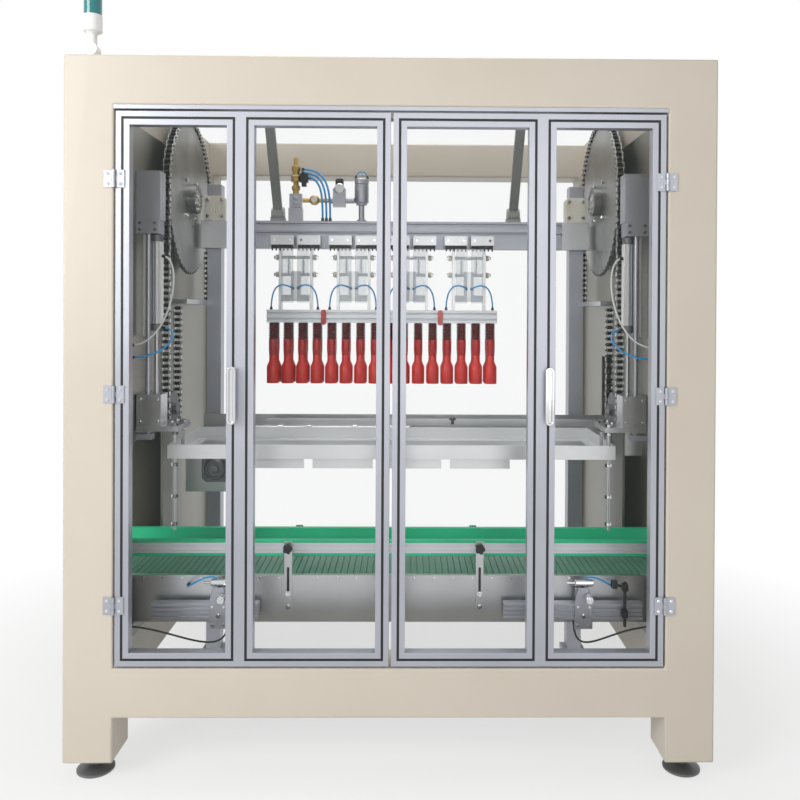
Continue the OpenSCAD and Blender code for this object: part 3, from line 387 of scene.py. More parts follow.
frameCollars = bmesh.new()
wallX = 999.5  # just off the side liners
pistonRun = dict(portX=913.5, depth=366, out=90,  # then port height, reach, wall depth and wall height
                 cylinderHose=(1876, 160, 258, 1526), returnHose=(1592, 150, 262, 1480))
for side, s in (("Left", -1), ("Right", 1)):
    for name, paint in (("cylinderHose", "white"), ("returnHose", "blue")):
        portZ, reach, depth, z = pistonRun[name]
        route = ((s * pistonRun["portX"], pistonRun["depth"], portZ),
                 (s * (pistonRun["portX"] - pistonRun["out"]), pistonRun["depth"], portZ),
                 (s * (wallX - reach), depth, z), (s * wallX, depth, z))
        line = makeHose(name + side, route, small, paint, "frame", "machine_hoses")
        addCollars(frameCollars, line, small)
stopRun = dict(hoseXs=(-655, 733), cableXs=(-620, 699), depth=245, cableZ=(486.5, 300.5), wallReach=180,
               wallDepth=205, wallZ=470, hoseZ=(599.5, 709.5), across=130, plateDepth=289.5, plateReach=110,
               plateZ=600)
for side, s, x, start in zip(("Left", "Right"), (-1, 1), stopRun["hoseXs"], stopRun["cableXs"]):
    sagging = ((start, stopRun["depth"], stopRun["cableZ"][0]),
               (start, stopRun["depth"], stopRun["cableZ"][1]),
               (s * (wallX - stopRun["wallReach"]), stopRun["wallDepth"], stopRun["wallZ"]),
               (s * wallX, stopRun["wallDepth"], stopRun["wallZ"]))
    end = x + s * stopRun["across"]
    over = ((x, stopRun["depth"], stopRun["hoseZ"][0]), (x, stopRun["depth"], stopRun["hoseZ"][1]),
            (end, stopRun["plateDepth"] - stopRun["plateReach"], stopRun["plateZ"]),
            (end, stopRun["plateDepth"], stopRun["plateZ"]))
    line = makeHose(f"stopCable{side}", sagging, small, "black", "frame", "machine_hoses")
    addCollars(frameCollars, line, small)
    line = makeHose(f"stopHose{side}", over, small, "blue", "frame", "machine_hoses")
    addCollars(frameCollars, line, small)
makePiece("frameCollars", frameCollars, paints["black"], "frame")
print("hoses done")

# Front and rear frames as one folded sheet each
shell = dict(half=1150, opening=975, foot=65, beamLow=225, sill=400, lintel=2380, top=2555, column=170,
             rear=1480, fold=6)


def addShell(mesh, depth):
    outline = [(0, shell["beamLow"]), (shell["opening"], shell["beamLow"]), (shell["opening"], shell["foot"]),
               (shell["half"], shell["foot"]), (shell["half"], shell["top"]), (0, shell["top"]),
               (0, shell["lintel"]), (shell["opening"], shell["lintel"]), (shell["opening"], shell["sill"]),
               (0, shell["sill"])]
    for s in (-1, 1):
        near = [mesh.verts.new(at(s * x, depth, z)) for x, z in outline]
        back = [mesh.verts.new(at(s * x, depth + shell["column"], z)) for x, z in outline]
        mesh.faces.new(near)
        mesh.faces.new(back)
        for i in range(len(outline)):
            j = (i + 1) % len(outline)
            if outline[i][0] or outline[j][0]:
                mesh.faces.new((near[i], back[i], back[j], near[j]))


for name, depth in (("front", 0), ("rear", shell["rear"])):
    mesh = bmesh.new()
    addShell(mesh, depth)
    bmesh.ops.remove_doubles(mesh, verts=mesh.verts, dist=1e-6)
    piece = makePiece(name + "Frame", mesh, paints["beige"], "frame", bevel=shell["fold"])
    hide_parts(name + "_columns", name + "_beams")
print("frames done")

# Doors: seals, bow handles and hinge screws
door = dict(split=531, strip=19, groove=9, play=0.3, sealFront=1.2, sealBack=5.8)
handle = dict(x=555, z=1365, halfWidth=15, halfLength=101.5, front=-36, back=-23, rim=8, panelFront=-31,
              footIn=28, footOut=6, footHalf=9, rest=-0.2)
hinge = dict(zs=(623, 1365, 2120), fixedX=993, doorX=949, face=-4, spread=18, across=11, height=3.5)
doorLow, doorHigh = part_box("right_door_frame")
leafLow = doorLow[2] / mm
leafHigh = doorHigh[2] / mm
bays = ((doorLow[0] / mm, door["split"]), (door["split"], doorHigh[0] / mm))
near = door["strip"] + door["play"]
far = door["strip"] + door["groove"] - door["play"]
sides = {"left": -1, "right": 1}
for name, s in sides.items():
    mesh = bmesh.new()
    depths = (door["sealFront"], door["sealBack"])
    for x0, x1 in bays:
        for a, b in ((x0 + near, x0 + far), (x1 - far, x1 - near)):
            addBlock(mesh, (s * a, s * b), depths, (leafLow + near, leafHigh - near))
        for c, d in ((leafLow + near, leafLow + far), (leafHigh - far, leafHigh - near)):
            addBlock(mesh, (s * (x0 + far), s * (x1 - far)), depths, (c, d))
    makePiece(name + "Seals", mesh, paints["black"], name + "_door")

    mesh = bmesh.new()
    outer = stadium(s * handle["x"], handle["z"], handle["halfWidth"], handle["halfLength"])
    inner = stadium(s * handle["x"], handle["z"], handle["halfWidth"] - handle["rim"],
                    handle["halfLength"] - handle["rim"])
    addRing(mesh, outer, inner, handle["front"], handle["back"])
    addPrism(mesh, inner, handle["panelFront"], handle["back"])
    for end in (-1, 1):
        low = handle["z"] + end * (handle["halfLength"] - handle["footIn"])
        high = handle["z"] + end * (handle["halfLength"] - handle["footOut"])
        addBlock(mesh, (s * handle["x"] - handle["footHalf"], s * handle["x"] + handle["footHalf"]),
                 (handle["back"], handle["rest"]), (low, high))
    piece = makePiece(name + "Handle", mesh, paints["chrome"], name + "_door", bevel=1.6)
    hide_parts(name + "_door_handle")

    mesh = bmesh.new()
    for z in hinge["zs"]:
        for end in (-1, 1):
            base = at(s * hinge["doorX"], hinge["face"], z + end * hinge["spread"])
            addHex(mesh, base, (0, -1, 0), hinge["across"], hinge["height"])
    makePiece(name + "HingeScrews", mesh, paints["chrome"], name + "_door")
mesh = bmesh.new()
for s in sides.values():
    for z in hinge["zs"]:
        for end in (-1, 1):
            base = at(s * hinge["fixedX"], hinge["face"], z + end * hinge["spread"])
            addHex(mesh, base, (0, -1, 0), hinge["across"], hinge["height"])
makePiece("postHingeScrews", mesh, paints["chrome"], "frame")
print("doors done")

# Sprocket bolts and roller chains
wheel = dict(depth=900, z=2173, face=942, hubFace=908, hubRing=46, hubBolts=6, discRing=112, discBolts=4,
             across=17, height=8, hubCap=((24, 0), (24, 3), (16, 3), (14, 5)))
mesh = bmesh.new()
for s in sides.values():
    for count, ring, face in ((wheel["hubBolts"], wheel["hubRing"], wheel["hubFace"]),
                              (wheel["discBolts"], wheel["discRing"], wheel["face"])):
        for i in range(count):
            a = 2 * math.pi * (i + 0.5) / count
            base = at(s * face, wheel["depth"] + ring * math.cos(a), wheel["z"] + ring * math.sin(a))
            addHex(mesh, base, (-s, 0, 0), wheel["across"], wheel["height"])
    hub = at(s * wheel["hubFace"], wheel["depth"], wheel["z"])
    addTurned(mesh, wheel["hubCap"], hub, (-s, 0, 0))
makePiece("sprocketBolts", mesh, paints["chrome"], "frame")

chain = dict(x=950, pitch=25.4, loopR=355, idlerR=86, idlerDepth=631, idlerZ=1240, rearFoot=1722,
             returnTop=1678, plate=8.8, plateT=2.4, innerX=11, outerX=14.5, rollerR=7.5, rollerHalf=10.5,
             pinR=4, pinHalf=18.8, loopSteps=72, idlerSteps=36, endSteps=4)


def chainLine():
    line = [(wheel["depth"] + chain["loopR"], chain["rearFoot"])]
    for i in range(chain["loopSteps"] + 1):
        a = math.pi * i / chain["loopSteps"]
        line.append((wheel["depth"] + chain["loopR"] * math.cos(a),
                     wheel["z"] + chain["loopR"] * math.sin(a)))
    for i in range(chain["idlerSteps"] + 1):
        a = math.pi + math.pi * i / chain["idlerSteps"]
        line.append((chain["idlerDepth"] + chain["idlerR"] * math.cos(a),
                     chain["idlerZ"] + chain["idlerR"] * math.sin(a)))
    line.append((chain["idlerDepth"] + chain["idlerR"], chain["returnTop"]))
    return [Vector(p) for p in line]


def walk(line, step):
    marks = [line[0]]
    left = step
    for a, b in zip(line, line[1:]):
        run = (b - a).length
        done = 0.0
        while run - done >= left:
            done += left
            marks.append(a + (b - a) * (done / run))
            left = step
        left -= run - done
    return marks


def addPlate(mesh, p, q, x0, x1):
    along = (q - p).normalized()
    turn = math.atan2(along.y, along.x)
    outline = []
    for centre, start in ((q, -math.pi / 2), (p, math.pi / 2)):
        for i in range(chain["endSteps"] + 1):
            a = turn + start + math.pi * i / chain["endSteps"]
            outline.append((centre.x + chain["plate"] * math.cos(a), centre.y + chain["plate"] * math.sin(a)))
    addExtrude(mesh, [at(x0, d, z) for d, z in outline], Vector(((x1 - x0) * mm, 0, 0)))


pins = walk(chainLine(), chain["pitch"])
plates = bmesh.new()
rollers = bmesh.new()
for s in sides.values():
    x = s * chain["x"]
    for i, (p, q) in enumerate(zip(pins, pins[1:])):
        reach = chain["outerX"] if i % 2 else chain["innerX"]
        for side in (-1, 1):
            addPlate(plates, p, q, x + side * reach, x + side * (reach + chain["plateT"]))
    for p in pins:
        for radius, half in ((chain["rollerR"], chain["rollerHalf"]), (chain["pinR"], chain["pinHalf"])):
            addTurned(rollers, [(radius, 0), (radius, 2 * half)], at(x - half, p.x, p.y), (1, 0, 0), sides=10)
for name, mesh, paint in (("chainPlates", plates, "link"), ("chainRollers", rollers, "chain")):
    piece = makePiece(name, mesh, paints[paint], "frame")
    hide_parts("lift_chains")
print("chains done")

# Guide frame lift: cylinder caps, nuts and bolts
lift = dict(pistonX=934, pistonDepth=366, capR=23.5, capH=28, cylinderLow=1580, cylinderHigh=1960, rodX=848,
            rodDepths=(320, 432), nutAcross=26, nutH=13, plateZ=1190, plateT=20, flangeZ=1089,
            lowNuts=(1054, 930, 822), blockFront=308, blockBolts=((914, 981), (1228, 1314)), capFront=313,
            capBolts=((926, 985), (1974, 2000)), boltSize=(13, 6), plateBolts=((880, 975), (404, 470)),
            plateBoltSize=(17, 9), tube=((913.8, 945), (347.5, 388), (1608, 1932)),
            strip=((972, 984), (350, 362), (1560, 1960)), socket=((986, 999.8), (193, 217), (458, 482)),
            socketAt=(986, 205, 470), socketRim=((9, 0), (9, 6), (6, 9)))
mesh = bmesh.new()
for s in sides.values():
    for low in (lift["cylinderLow"], lift["cylinderHigh"] - lift["capH"]):
        profile = [(lift["capR"] - 2, 0), (lift["capR"], 2), (lift["capR"], lift["capH"] - 2),
                   (lift["capR"] - 2, lift["capH"])]
        addTurned(mesh, profile, at(s * lift["pistonX"], lift["pistonDepth"], low), (0, 0, 1), sides=24)
    for x in lift["capBolts"][0]:
        for z in lift["capBolts"][1]:
            addHex(mesh, at(s * x, lift["capFront"], z), (0, -1, 0), *lift["boltSize"])
makePiece("cylinderCaps", mesh, paints["cast"], "frame")
mesh = bmesh.new()
for s in sides.values():
    for (x0, x1), depths, heights in (lift["tube"], lift["strip"], lift["socket"]):
        addBlock(mesh, (s * x0, s * x1), depths, heights)
    x, depth, z = lift["socketAt"]
    addTurned(mesh, lift["socketRim"], at(s * x, depth, z), (-s, 0, 0), sides=20)
makePiece("cylinderTubes", mesh, paints["white"], "frame", bevel=3)
mesh = bmesh.new()
for s in sides.values():
    for depth in lift["rodDepths"]:
        for z in (lift["flangeZ"], lift["plateZ"] - lift["nutH"], lift["plateZ"] + lift["plateT"]):
            addHex(mesh, at(s * lift["rodX"], depth, z), (0, 0, 1), lift["nutAcross"], lift["nutH"])
    for z in lift["lowNuts"]:
        addHex(mesh, at(s * lift["rodX"], lift["rodDepths"][0], z), (0, 0, 1), lift["nutAcross"],
               lift["nutH"])
    for x in lift["blockBolts"][0]:
        for z in lift["blockBolts"][1]:
            addHex(mesh, at(s * x, lift["blockFront"], z), (0, -1, 0), *lift["boltSize"])
    for x in lift["plateBolts"][0]:
        for depth in lift["plateBolts"][1]:
            addHex(mesh, at(s * x, depth, lift["plateZ"] + lift["plateT"]), (0, 0, 1), *lift["plateBoltSize"])
makePiece("guideNuts", mesh, paints["chrome"], "guide_frame")
print("guide frame done")

# Carton conveyor: slats, rail strips, knobs
conveyor = dict(halfX=1150, beltLow=571, slatTop=634, slatPitch=25, slatGap=3, nearDepth=312, farDepth=598,
                bedDepths=(298, 612), bedTop=611, beltTop=626, slatIn=0.5, boltZ=627, boltStep=75, boltIn=40,
                boltDepth=290, boltSize=(8, 4))
mesh = bmesh.new()
count = round(2 * conveyor["halfX"] / conveyor["slatPitch"])
addBlock(mesh, (-conveyor["halfX"], conveyor["halfX"]), conveyor["bedDepths"],
         (conveyor["beltLow"], conveyor["bedTop"]))
addBlock(mesh, (-conveyor["halfX"], conveyor["halfX"]), (conveyor["nearDepth"], conveyor["farDepth"]),
         (conveyor["bedTop"], conveyor["beltTop"]))
for i in range(count):
    x = -conveyor["halfX"] + i * conveyor["slatPitch"]
    addBlock(mesh, (x + conveyor["slatGap"] / 2, x + conveyor["slatPitch"] - conveyor["slatGap"] / 2),
             (conveyor["nearDepth"] + conveyor["slatIn"], conveyor["farDepth"] - conveyor["slatIn"]),
             (conveyor["beltTop"], conveyor["slatTop"]))
piece = makePiece("cartonSlats", mesh, paints["beltGreen"], "frame")
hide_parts("carton_belt")
mesh = bmesh.new()
steps = round(2 * (conveyor["halfX"] - conveyor["boltIn"]) / conveyor["boltStep"])
for i in range(steps + 1):
    x = -conveyor["halfX"] + conveyor["boltIn"] + i * conveyor["boltStep"]
    addHex(mesh, at(x, conveyor["boltDepth"], conveyor["boltZ"]), (0, -1, 0), *conveyor["boltSize"])
makePiece("edgeBolts", mesh, paints["chrome"], "frame")

rail = dict(low=702, strip=11, high=764, depths=(320, 344), slots=(724, 742), slotWidth=5, slotDeep=4,
            proud=1.5)
mesh = bmesh.new()
section = slotted(rail["depths"], (rail["low"] + rail["strip"], rail["high"] - rail["strip"]), rail["slots"],
                  rail["slotWidth"], rail["slotDeep"])
addBar(mesh, section, -conveyor["halfX"], conveyor["halfX"])
piece = makePiece("railProfile", mesh, paints["paleBar"], "frame")
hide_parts("front_guide_rail")
mesh = bmesh.new()
for low in (rail["low"], rail["high"] - rail["strip"]):
    addBlock(mesh, (-conveyor["halfX"], conveyor["halfX"]),
             (rail["depths"][0] - rail["proud"], rail["depths"][1]), (low, low + rail["strip"]))
makePiece("railStrips", mesh, paints["green"], "frame", bevel=2)

bracket = dict(xs=(-400, 342), face=284, knobZ=744, boltZs=(516, 566), slotZ=615, slotHalf=(5, 55), slotShadeT=0.4,
               lobes=5, lobeRing=11, lobeR=8, lobeSpan=(8, 26), washer=((10, 0), (10, 2)), boltSize=(14, 7),
               stem=((10, 0), (12, 6), (14, 10), (14, 24), (10, 28)))
mesh = bmesh.new()
for x in bracket["xs"]:
    for i in range(bracket["lobes"]):
        a = 2 * math.pi * i / bracket["lobes"]
        lobeX = x + bracket["lobeRing"] * math.cos(a)
        lobeZ = bracket["knobZ"] + bracket["lobeRing"] * math.sin(a)
        back, front = (at(lobeX, bracket["face"] - out, lobeZ) for out in bracket["lobeSpan"])
        addRod(mesh, back, front, bracket["lobeR"], sides=14, chamfer=3)
    addTurned(mesh, bracket["stem"], at(x, bracket["face"], bracket["knobZ"]), (0, -1, 0), sides=20)
    # painted shade: a thin black stadium on the bracket face stands in for the dark opening of the adjustment
    # slot
    addPrism(mesh, stadium(x, bracket["slotZ"], *bracket["slotHalf"]), bracket["face"] - bracket["slotShadeT"],
             bracket["face"])
makePiece("bracketKnobsSlotShade", mesh, paints["black"], "frame")
mesh = bmesh.new()
for x in bracket["xs"]:
    for z in bracket["boltZs"]:
        addTurned(mesh, bracket["washer"], at(x, bracket["face"], z), (0, -1, 0), sides=20)
        addHex(mesh, at(x, bracket["face"] - 2, z), (0, -1, 0), *bracket["boltSize"])
makePiece("bracketBolts", mesh, paints["chrome"], "frame")

# Stop units: slotted profiles, plates with small cylinders, a sensor on a rod
stop = dict(ends=((-911, -504), (430, 960)), plateXs=(-655, 733), depths=(225, 265), low=487, high=549,
            slots=(502, 518, 534), slotWidth=6, slotDeep=6, plateFront=219, plateLow=455, plateHigh=611,
            plateHalf=34, plateTopHalf=20, shoulder=560, spacerIn=(40, 80), spacerW=40, spacerBack=290,
            spacerEdge=10, blockHalf=26, blockBack=263, blockH=50,
            screws=((-22, 470), (22, 470), (-22, 540), (22, 540)), screwSize=(11, 6), buttonZ=505,
            button=((9, 0), (9, 3), (6, 3), (6, 8)), pushX=16, pushZ=577, pushDepths=(214, 180, 166),
            pushR=(15, 5), crossXs=(40, -30, -62), crossDepth=240, crossZ=624, crossR=(14, 5))
mesh = bmesh.new()
for (x0, x1), px in zip(stop["ends"], stop["plateXs"]):
    addBar(mesh, slotted(stop["depths"], (stop["low"], stop["high"]), stop["slots"], stop["slotWidth"],
                         stop["slotDeep"]), x0, x1)
    for x in (x0 + stop["spacerIn"][0], x1 - stop["spacerIn"][1]):
        addBlock(mesh, (x, x + stop["spacerW"]), (stop["depths"][1], stop["spacerBack"]),
                 (stop["low"] + stop["spacerEdge"], stop["high"] - stop["spacerEdge"]))
    wide = stop["plateHalf"]
    narrow = stop["plateTopHalf"]
    outline = [(px - wide, stop["plateLow"]), (px + wide, stop["plateLow"]), (px + wide, stop["shoulder"]),
               (px + narrow, stop["plateHigh"]), (px - narrow, stop["plateHigh"]),
               (px - wide, stop["shoulder"])]
    addPrism(mesh, outline, stop["plateFront"], stop["depths"][0])
    addBlock(mesh, (px - stop["blockHalf"], px + stop["blockHalf"]), (stop["depths"][0], stop["blockBack"]),
             (stop["high"], stop["high"] + stop["blockH"]))
piece = makePiece("stopProfiles", mesh, paints["aluminium"], "frame", bevel=0.8)
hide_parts("stop_units")
mesh = bmesh.new()
for px in stop["plateXs"]:
    push = [at(px + stop["pushX"], depth, stop["pushZ"]) for depth in stop["pushDepths"]]
    cross = [at(px + dx, stop["crossDepth"], stop["crossZ"]) for dx in stop["crossXs"]]
    for (tail, neck, tip), (bodyR, rodR) in ((push, stop["pushR"]), (cross, stop["crossR"])):
        addRod(mesh, tail, neck, bodyR, sides=24, chamfer=2)
        addRod(mesh, neck, tip, rodR, sides=14)
    for dx, z in stop["screws"]:
        addHex(mesh, at(px + dx, stop["plateFront"], z), (0, -1, 0), *stop["screwSize"])
    addTurned(mesh, stop["button"], at(px, stop["plateFront"], stop["buttonZ"]), (0, -1, 0))
makePiece("stopCylinders", mesh, paints["chrome"], "frame")
sensor = dict(x=886, depth=205, low=470, high=640, rodR=6, half=11, clampBack=225, clampZ=(505, 531),
              topZ=(606, 632), armX=850, armZ=(619, 630), armR=5, eyeX=(-14, 6), eyeDepth=(-9, 16),
              eyeZ=(616, 644))
mesh = bmesh.new()
addRod(mesh, at(sensor["x"], sensor["depth"], sensor["low"]),
       at(sensor["x"], sensor["depth"], sensor["high"]), sensor["rodR"])
for back, heights in ((sensor["clampBack"], sensor["clampZ"]),
                      (sensor["depth"] + sensor["half"], sensor["topZ"])):
    addBlock(mesh, (sensor["x"] - sensor["half"], sensor["x"] + sensor["half"]),
             (sensor["depth"] - sensor["half"], back), heights)
addRod(mesh, at(sensor["x"], sensor["depth"], sensor["armZ"][0]),
       at(sensor["armX"], sensor["depth"], sensor["armZ"][1]), sensor["armR"])
addBlock(mesh, [sensor["armX"] + dx for dx in sensor["eyeX"]],
         [sensor["depth"] + d for d in sensor["eyeDepth"]], sensor["eyeZ"])
makePiece("sensorStand", mesh, paints["black"], "frame", bevel=1)
print("conveyor done")

# Bottle table: flat-top slats, guide rod with clamps, flange bearing
table = dict(x0=-915, x1=1150, depths=(884.5, 1037.5), low=1085, top=1105, pitch=70, gap=2.5, rodZ=1128,
             rodDepth=864, rodR=7, rodX=(-640, 70), clamps=(-520, -390, -180), clampHalf=12, clampR=13,
             lugHalf=8, lugBack=880, boltSize=(12, 8), bedDepths=(884, 1038), slatT=6,
             screwAt=(267, 872, 1150), screwHead=((6, 0), (6, 12), (14, 14), (16, 20), (12, 26)),
             screwFoot=((7, -6), (8, 0), (6, 2)))
mesh = bmesh.new()
addBlock(mesh, (table["x0"], table["x1"]), table["bedDepths"],
         (table["low"], table["top"] - table["slatT"]))
count = int((table["x1"] - table["x0"]) / table["pitch"])
step = (table["x1"] - table["x0"]) / count
for i in range(count):
    x = table["x0"] + i * step
    addBlock(mesh, (x + table["gap"] / 2, x + step - table["gap"] / 2), table["depths"],
             (table["top"] - table["slatT"], table["top"]))
piece = makePiece("bottleSlats", mesh, paints["brushed"], "frame")
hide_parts("bottle_belt")
mesh = bmesh.new()
addRod(mesh, at(table["rodX"][0], table["rodDepth"], table["rodZ"]),
       at(table["rodX"][1], table["rodDepth"], table["rodZ"]), table["rodR"])
for x in table["clamps"]:
    addRod(mesh, at(x - table["clampHalf"], table["rodDepth"], table["rodZ"]),
           at(x + table["clampHalf"], table["rodDepth"], table["rodZ"]), table["clampR"],
           sides=20, chamfer=2)
    addBlock(mesh, (x - table["lugHalf"], x + table["lugHalf"]), (table["rodDepth"], table["lugBack"]),
             (table["rodZ"] - table["rodR"], table["rodZ"] + table["rodR"]))
    addHex(mesh, at(x, table["rodDepth"] - table["clampHalf"], table["rodZ"]), (0, -1, 0), *table["boltSize"])
makePiece("guideRod", mesh, paints["chrome"], "frame")
mesh = bmesh.new()
for profile in (table["screwHead"], table["screwFoot"]):
    addTurned(mesh, profile, at(*table["screwAt"]), (0, 0, 1), sides=20)
flange = dict(x=-819, z=937, depths=(868, 876), half=62, corner=0.7, boltOff=45, boltSize=(17, 9),
              housing=((52, 0), (48, 10), (40, 20), (34, 20), (32, 14), (18, 14), (17, 24), (14, 25)))
for corner in (-1, 1):
    for top in (-1, 1):
        base = at(flange["x"] + corner * flange["boltOff"], flange["depths"][0],
                  flange["z"] + top * flange["boltOff"])
        addHex(mesh, base, (0, -1, 0), *flange["boltSize"])
c = flange["corner"]
square = [(flange["x"] + flange["half"] * x, flange["z"] + flange["half"] * z) for x, z in
          ((-1, -c), (-c, -1), (c, -1), (1, -c), (1, c), (c, 1), (-c, 1), (-1, c))]
addPrism(mesh, square, *flange["depths"])
addTurned(mesh, flange["housing"], at(flange["x"], flange["depths"][0], flange["z"]), (0, -1, 0), sides=32)
makePiece("flangeBearing", mesh, paints["cast"], "frame")
print("table done")

# Levelling feet
foot = dict(xs=(-1062.5, 1062.5), depths=(85, 1565), nutZ=44, nutH=16, nutAcross=50, threads=9,
            threadZ=30, threadPitch=4, threadR=(13, 14), threadTop=65,
            pad=((62, 0), (66, 3), (66, 9), (58, 14), (30, 21), (19, 25), (19, 28), (14, 29)))
mesh = bmesh.new()
for x in foot["xs"]:
    for depth in foot["depths"]:
        profile = list(foot["pad"])
        root, crest = foot["threadR"]
        for i in range(foot["threads"]):
            z = foot["threadZ"] + foot["threadPitch"] * i
            profile += [(root, z), (crest, z + foot["threadPitch"] // 2)]
        profile.append((root, foot["threadTop"]))
        addTurned(mesh, profile, at(x, depth, 0), (0, 0, 1), sides=40)
        addHex(mesh, at(x, depth, foot["nutZ"]), (0, 0, 1), foot["nutAcross"], foot["nutH"])
piece = makePiece("feet", mesh, paints["cast"], "frame")
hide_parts("levelling_feet")

# Gripper head: slotted beam and bars, bolts, rollers, springs, guards
beam = dict(halfX=794.5, depths=(1012, 1062), low=1958, high=2090, slots=(2028, 2072), slotWidth=12,
            slotDeep=14, stripZ=(2040, 2060), stripIn=40, stripDepths=(1006, 1012))
mesh = bmesh.new()
addBar(mesh, slotted(beam["depths"], (beam["low"], beam["high"]), beam["slots"], beam["slotWidth"],
                     beam["slotDeep"]),
       -beam["halfX"], beam["halfX"])
addBlock(mesh, (-beam["halfX"] + beam["stripIn"], beam["halfX"] - beam["stripIn"]), beam["stripDepths"],
         beam["stripZ"])
piece = makePiece("beamProfile", mesh, paints["aluminium"], "head", bevel=1)
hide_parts("head_beam")
bar = dict(half=129, depths=(905, 1017), low=1607, high=1667, slots=(1624, 1650), slotWidth=7, slotDeep=9,
           clampXs=(-330, 210), clamp=(1632, 12, 36), clampDepths=(897, 904.8), button=(1620, 6, 9),
           buttonDepths=(893, 897))
mesh = bmesh.new()
for x in groupXs:
    addBar(mesh, slotted(bar["depths"], (bar["low"], bar["high"]), bar["slots"], bar["slotWidth"],
                         bar["slotDeep"]),
           x - bar["half"], x + bar["half"])
piece = makePiece("barProfiles", mesh, paints["paleBar"], "head", bevel=1)
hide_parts("gripper_bars")
mesh = bmesh.new()
for x in bar["clampXs"]:
    addPrism(mesh, stadium(x, *bar["clamp"]), *bar["clampDepths"])
    addPrism(mesh, stadium(x, *bar["button"]), *bar["buttonDepths"])
makePiece("barClamps", mesh, paints["redLens"], "head", bevel=1)

hanger = dict(depth=935, rods=(1832, 1912), rollerX=80, roller=((9, 0), (13, 2), (13, 13), (9, 15)),
              nutX=95.5, nutSize=(16, 8), middleX=62, combHalf=50, combDepths=(928, 940),
              combZ=(1953, 1969.5), teeth=6, toothX=45, toothStep=18, toothHalf=3, toothDepths=(926, 934),
              toothZ=(1942, 1954), boltX=36, boltZ=1992, boltSize=(14, 8), guardX=(8, 64),
              guardZ=(1700, 1952), guardDepths=(922, 925), springX=34, springIn=6, coils=5, coilZ=1842,
              coilStep=12, coil=((7, 0), (9, 2), (9, 4), (7, 6)), springZ=(1830, 1912), springR=3)
rollers = bmesh.new()
combs = bmesh.new()
guards = bmesh.new()
bolts = bmesh.new()
for x in groupXs:
    for s in (-1, 1):
        for z in hanger["rods"]:
            base = at(x + s * hanger["rollerX"], bankDepth, z)
            addTurned(rollers, hanger["roller"], base, (s, 0, 0), sides=20)
            addHex(bolts, at(x + s * hanger["nutX"], bankDepth, z), (s, 0, 0), *hanger["nutSize"])
        middle = x + s * hanger["middleX"]
        addBlock(combs, (middle - hanger["combHalf"], middle + hanger["combHalf"]), hanger["combDepths"],
                 hanger["combZ"])
        for k in range(hanger["teeth"]):
            px = middle - hanger["toothX"] + hanger["toothStep"] * k
            addBlock(combs, (px - hanger["toothHalf"], px + hanger["toothHalf"]), hanger["toothDepths"],
                     hanger["toothZ"])
        for k in (-1, 1):
            addHex(bolts, at(middle + k * hanger["boltX"], hanger["depth"], hanger["boltZ"]), (0, -1, 0),
                   *hanger["boltSize"])
        inX, outX = (x + s * edge for edge in hanger["guardX"])
        low, high = hanger["guardZ"]
        addPrism(guards, [(inX, low), (outX, low), (outX, high), (inX, high)], *hanger["guardDepths"])
        springX = x + s * hanger["springX"]
        springDepth = bankDepth - hanger["springIn"]
        for k in range(hanger["coils"]):
            z = hanger["coilZ"] + hanger["coilStep"] * k
            addTurned(bolts, hanger["coil"], at(springX, springDepth, z), (0, 0, 1), sides=14)
        low, high = (at(springX, springDepth, z) for z in hanger["springZ"])
        addRod(bolts, low, high, hanger["springR"], sides=10)
makePiece("hangerRollers", rollers, paints["cream"], "head")
makePiece("hangerCombs", combs, paints["black"], "head")
makePiece("hangerGuards", guards, paints["guard"], "head")
makePiece("hangerBolts", bolts, paints["chrome"], "head")

bearing = dict(x=(826, 892), z=(2110, 2186), face=1012, block=(808.5, 909.5), low=2090, high=2206, cut=14,
               ribXs=(-18, -6, 6, 18), ribHalf=3, ribT=2, ribZ=(2126, 2150), boltSize=(19, 10))
yokeFoot = dict(x=562, z=2106, spread=(-26, 26), depths=(1021, 1053), boltSize=(13, 7), pinX=585, pinZ=2124,
                pinSize=(30, 10))
plate = dict(x=(794.5, 923.5), depths=(1012, 1057), back=1132, z=(1958, 2090), inner=(802.5, 834.5),
             outer=(911.5, 923.5), pads=((849, 897, 1056, 1061.7), (833.5, 839.2, 1077, 1117),
                                         (906.8, 912.5, 1077, 1117)), sideEdge=6, padEdge=24)
mesh = bmesh.new()
for s in sides.values():
    addBlock(mesh, (s * plate["x"][0], s * plate["x"][1]), plate["depths"], plate["z"])
    for x0, x1 in (plate["inner"], plate["outer"]):
        addBlock(mesh, (s * x0, s * x1), (plate["depths"][0] + 1, plate["back"]),
                 (plate["z"][0] + plate["sideEdge"], plate["z"][1] - plate["sideEdge"]))
    for x0, x1, depth0, depth1 in plate["pads"]:
        addBlock(mesh, (s * x0, s * x1), (depth0, depth1),
                 (plate["z"][0] + plate["padEdge"], plate["z"][1] - plate["padEdge"]))
piece = makePiece("carriagePlates", mesh, paints["brushed"], "head", bevel=1)
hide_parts("head_carriages")
mesh = bmesh.new()
for s in sides.values():
    middle = s * sum(bearing["block"]) / 2
    half = (bearing["block"][1] - bearing["block"][0]) / 2
    cut = bearing["cut"]
    outline = [(middle - half, bearing["low"]), (middle + half, bearing["low"]),
               (middle + half, bearing["high"] - cut), (middle + half - cut, bearing["high"]),
               (middle - half + cut, bearing["high"]), (middle - half, bearing["high"] - cut)]
    addPrism(mesh, outline, bearing["face"], plate["depths"][1])
    for x in bearing["ribXs"]:
        addBlock(mesh, (middle + x - bearing["ribHalf"], middle + x + bearing["ribHalf"]),
                 (bearing["face"] - bearing["ribT"], bearing["face"]), bearing["ribZ"])
piece = makePiece("bearingBlocks", mesh, paints["cream"], "head", bevel=3)
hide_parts("head_carriages")
mesh = bmesh.new()
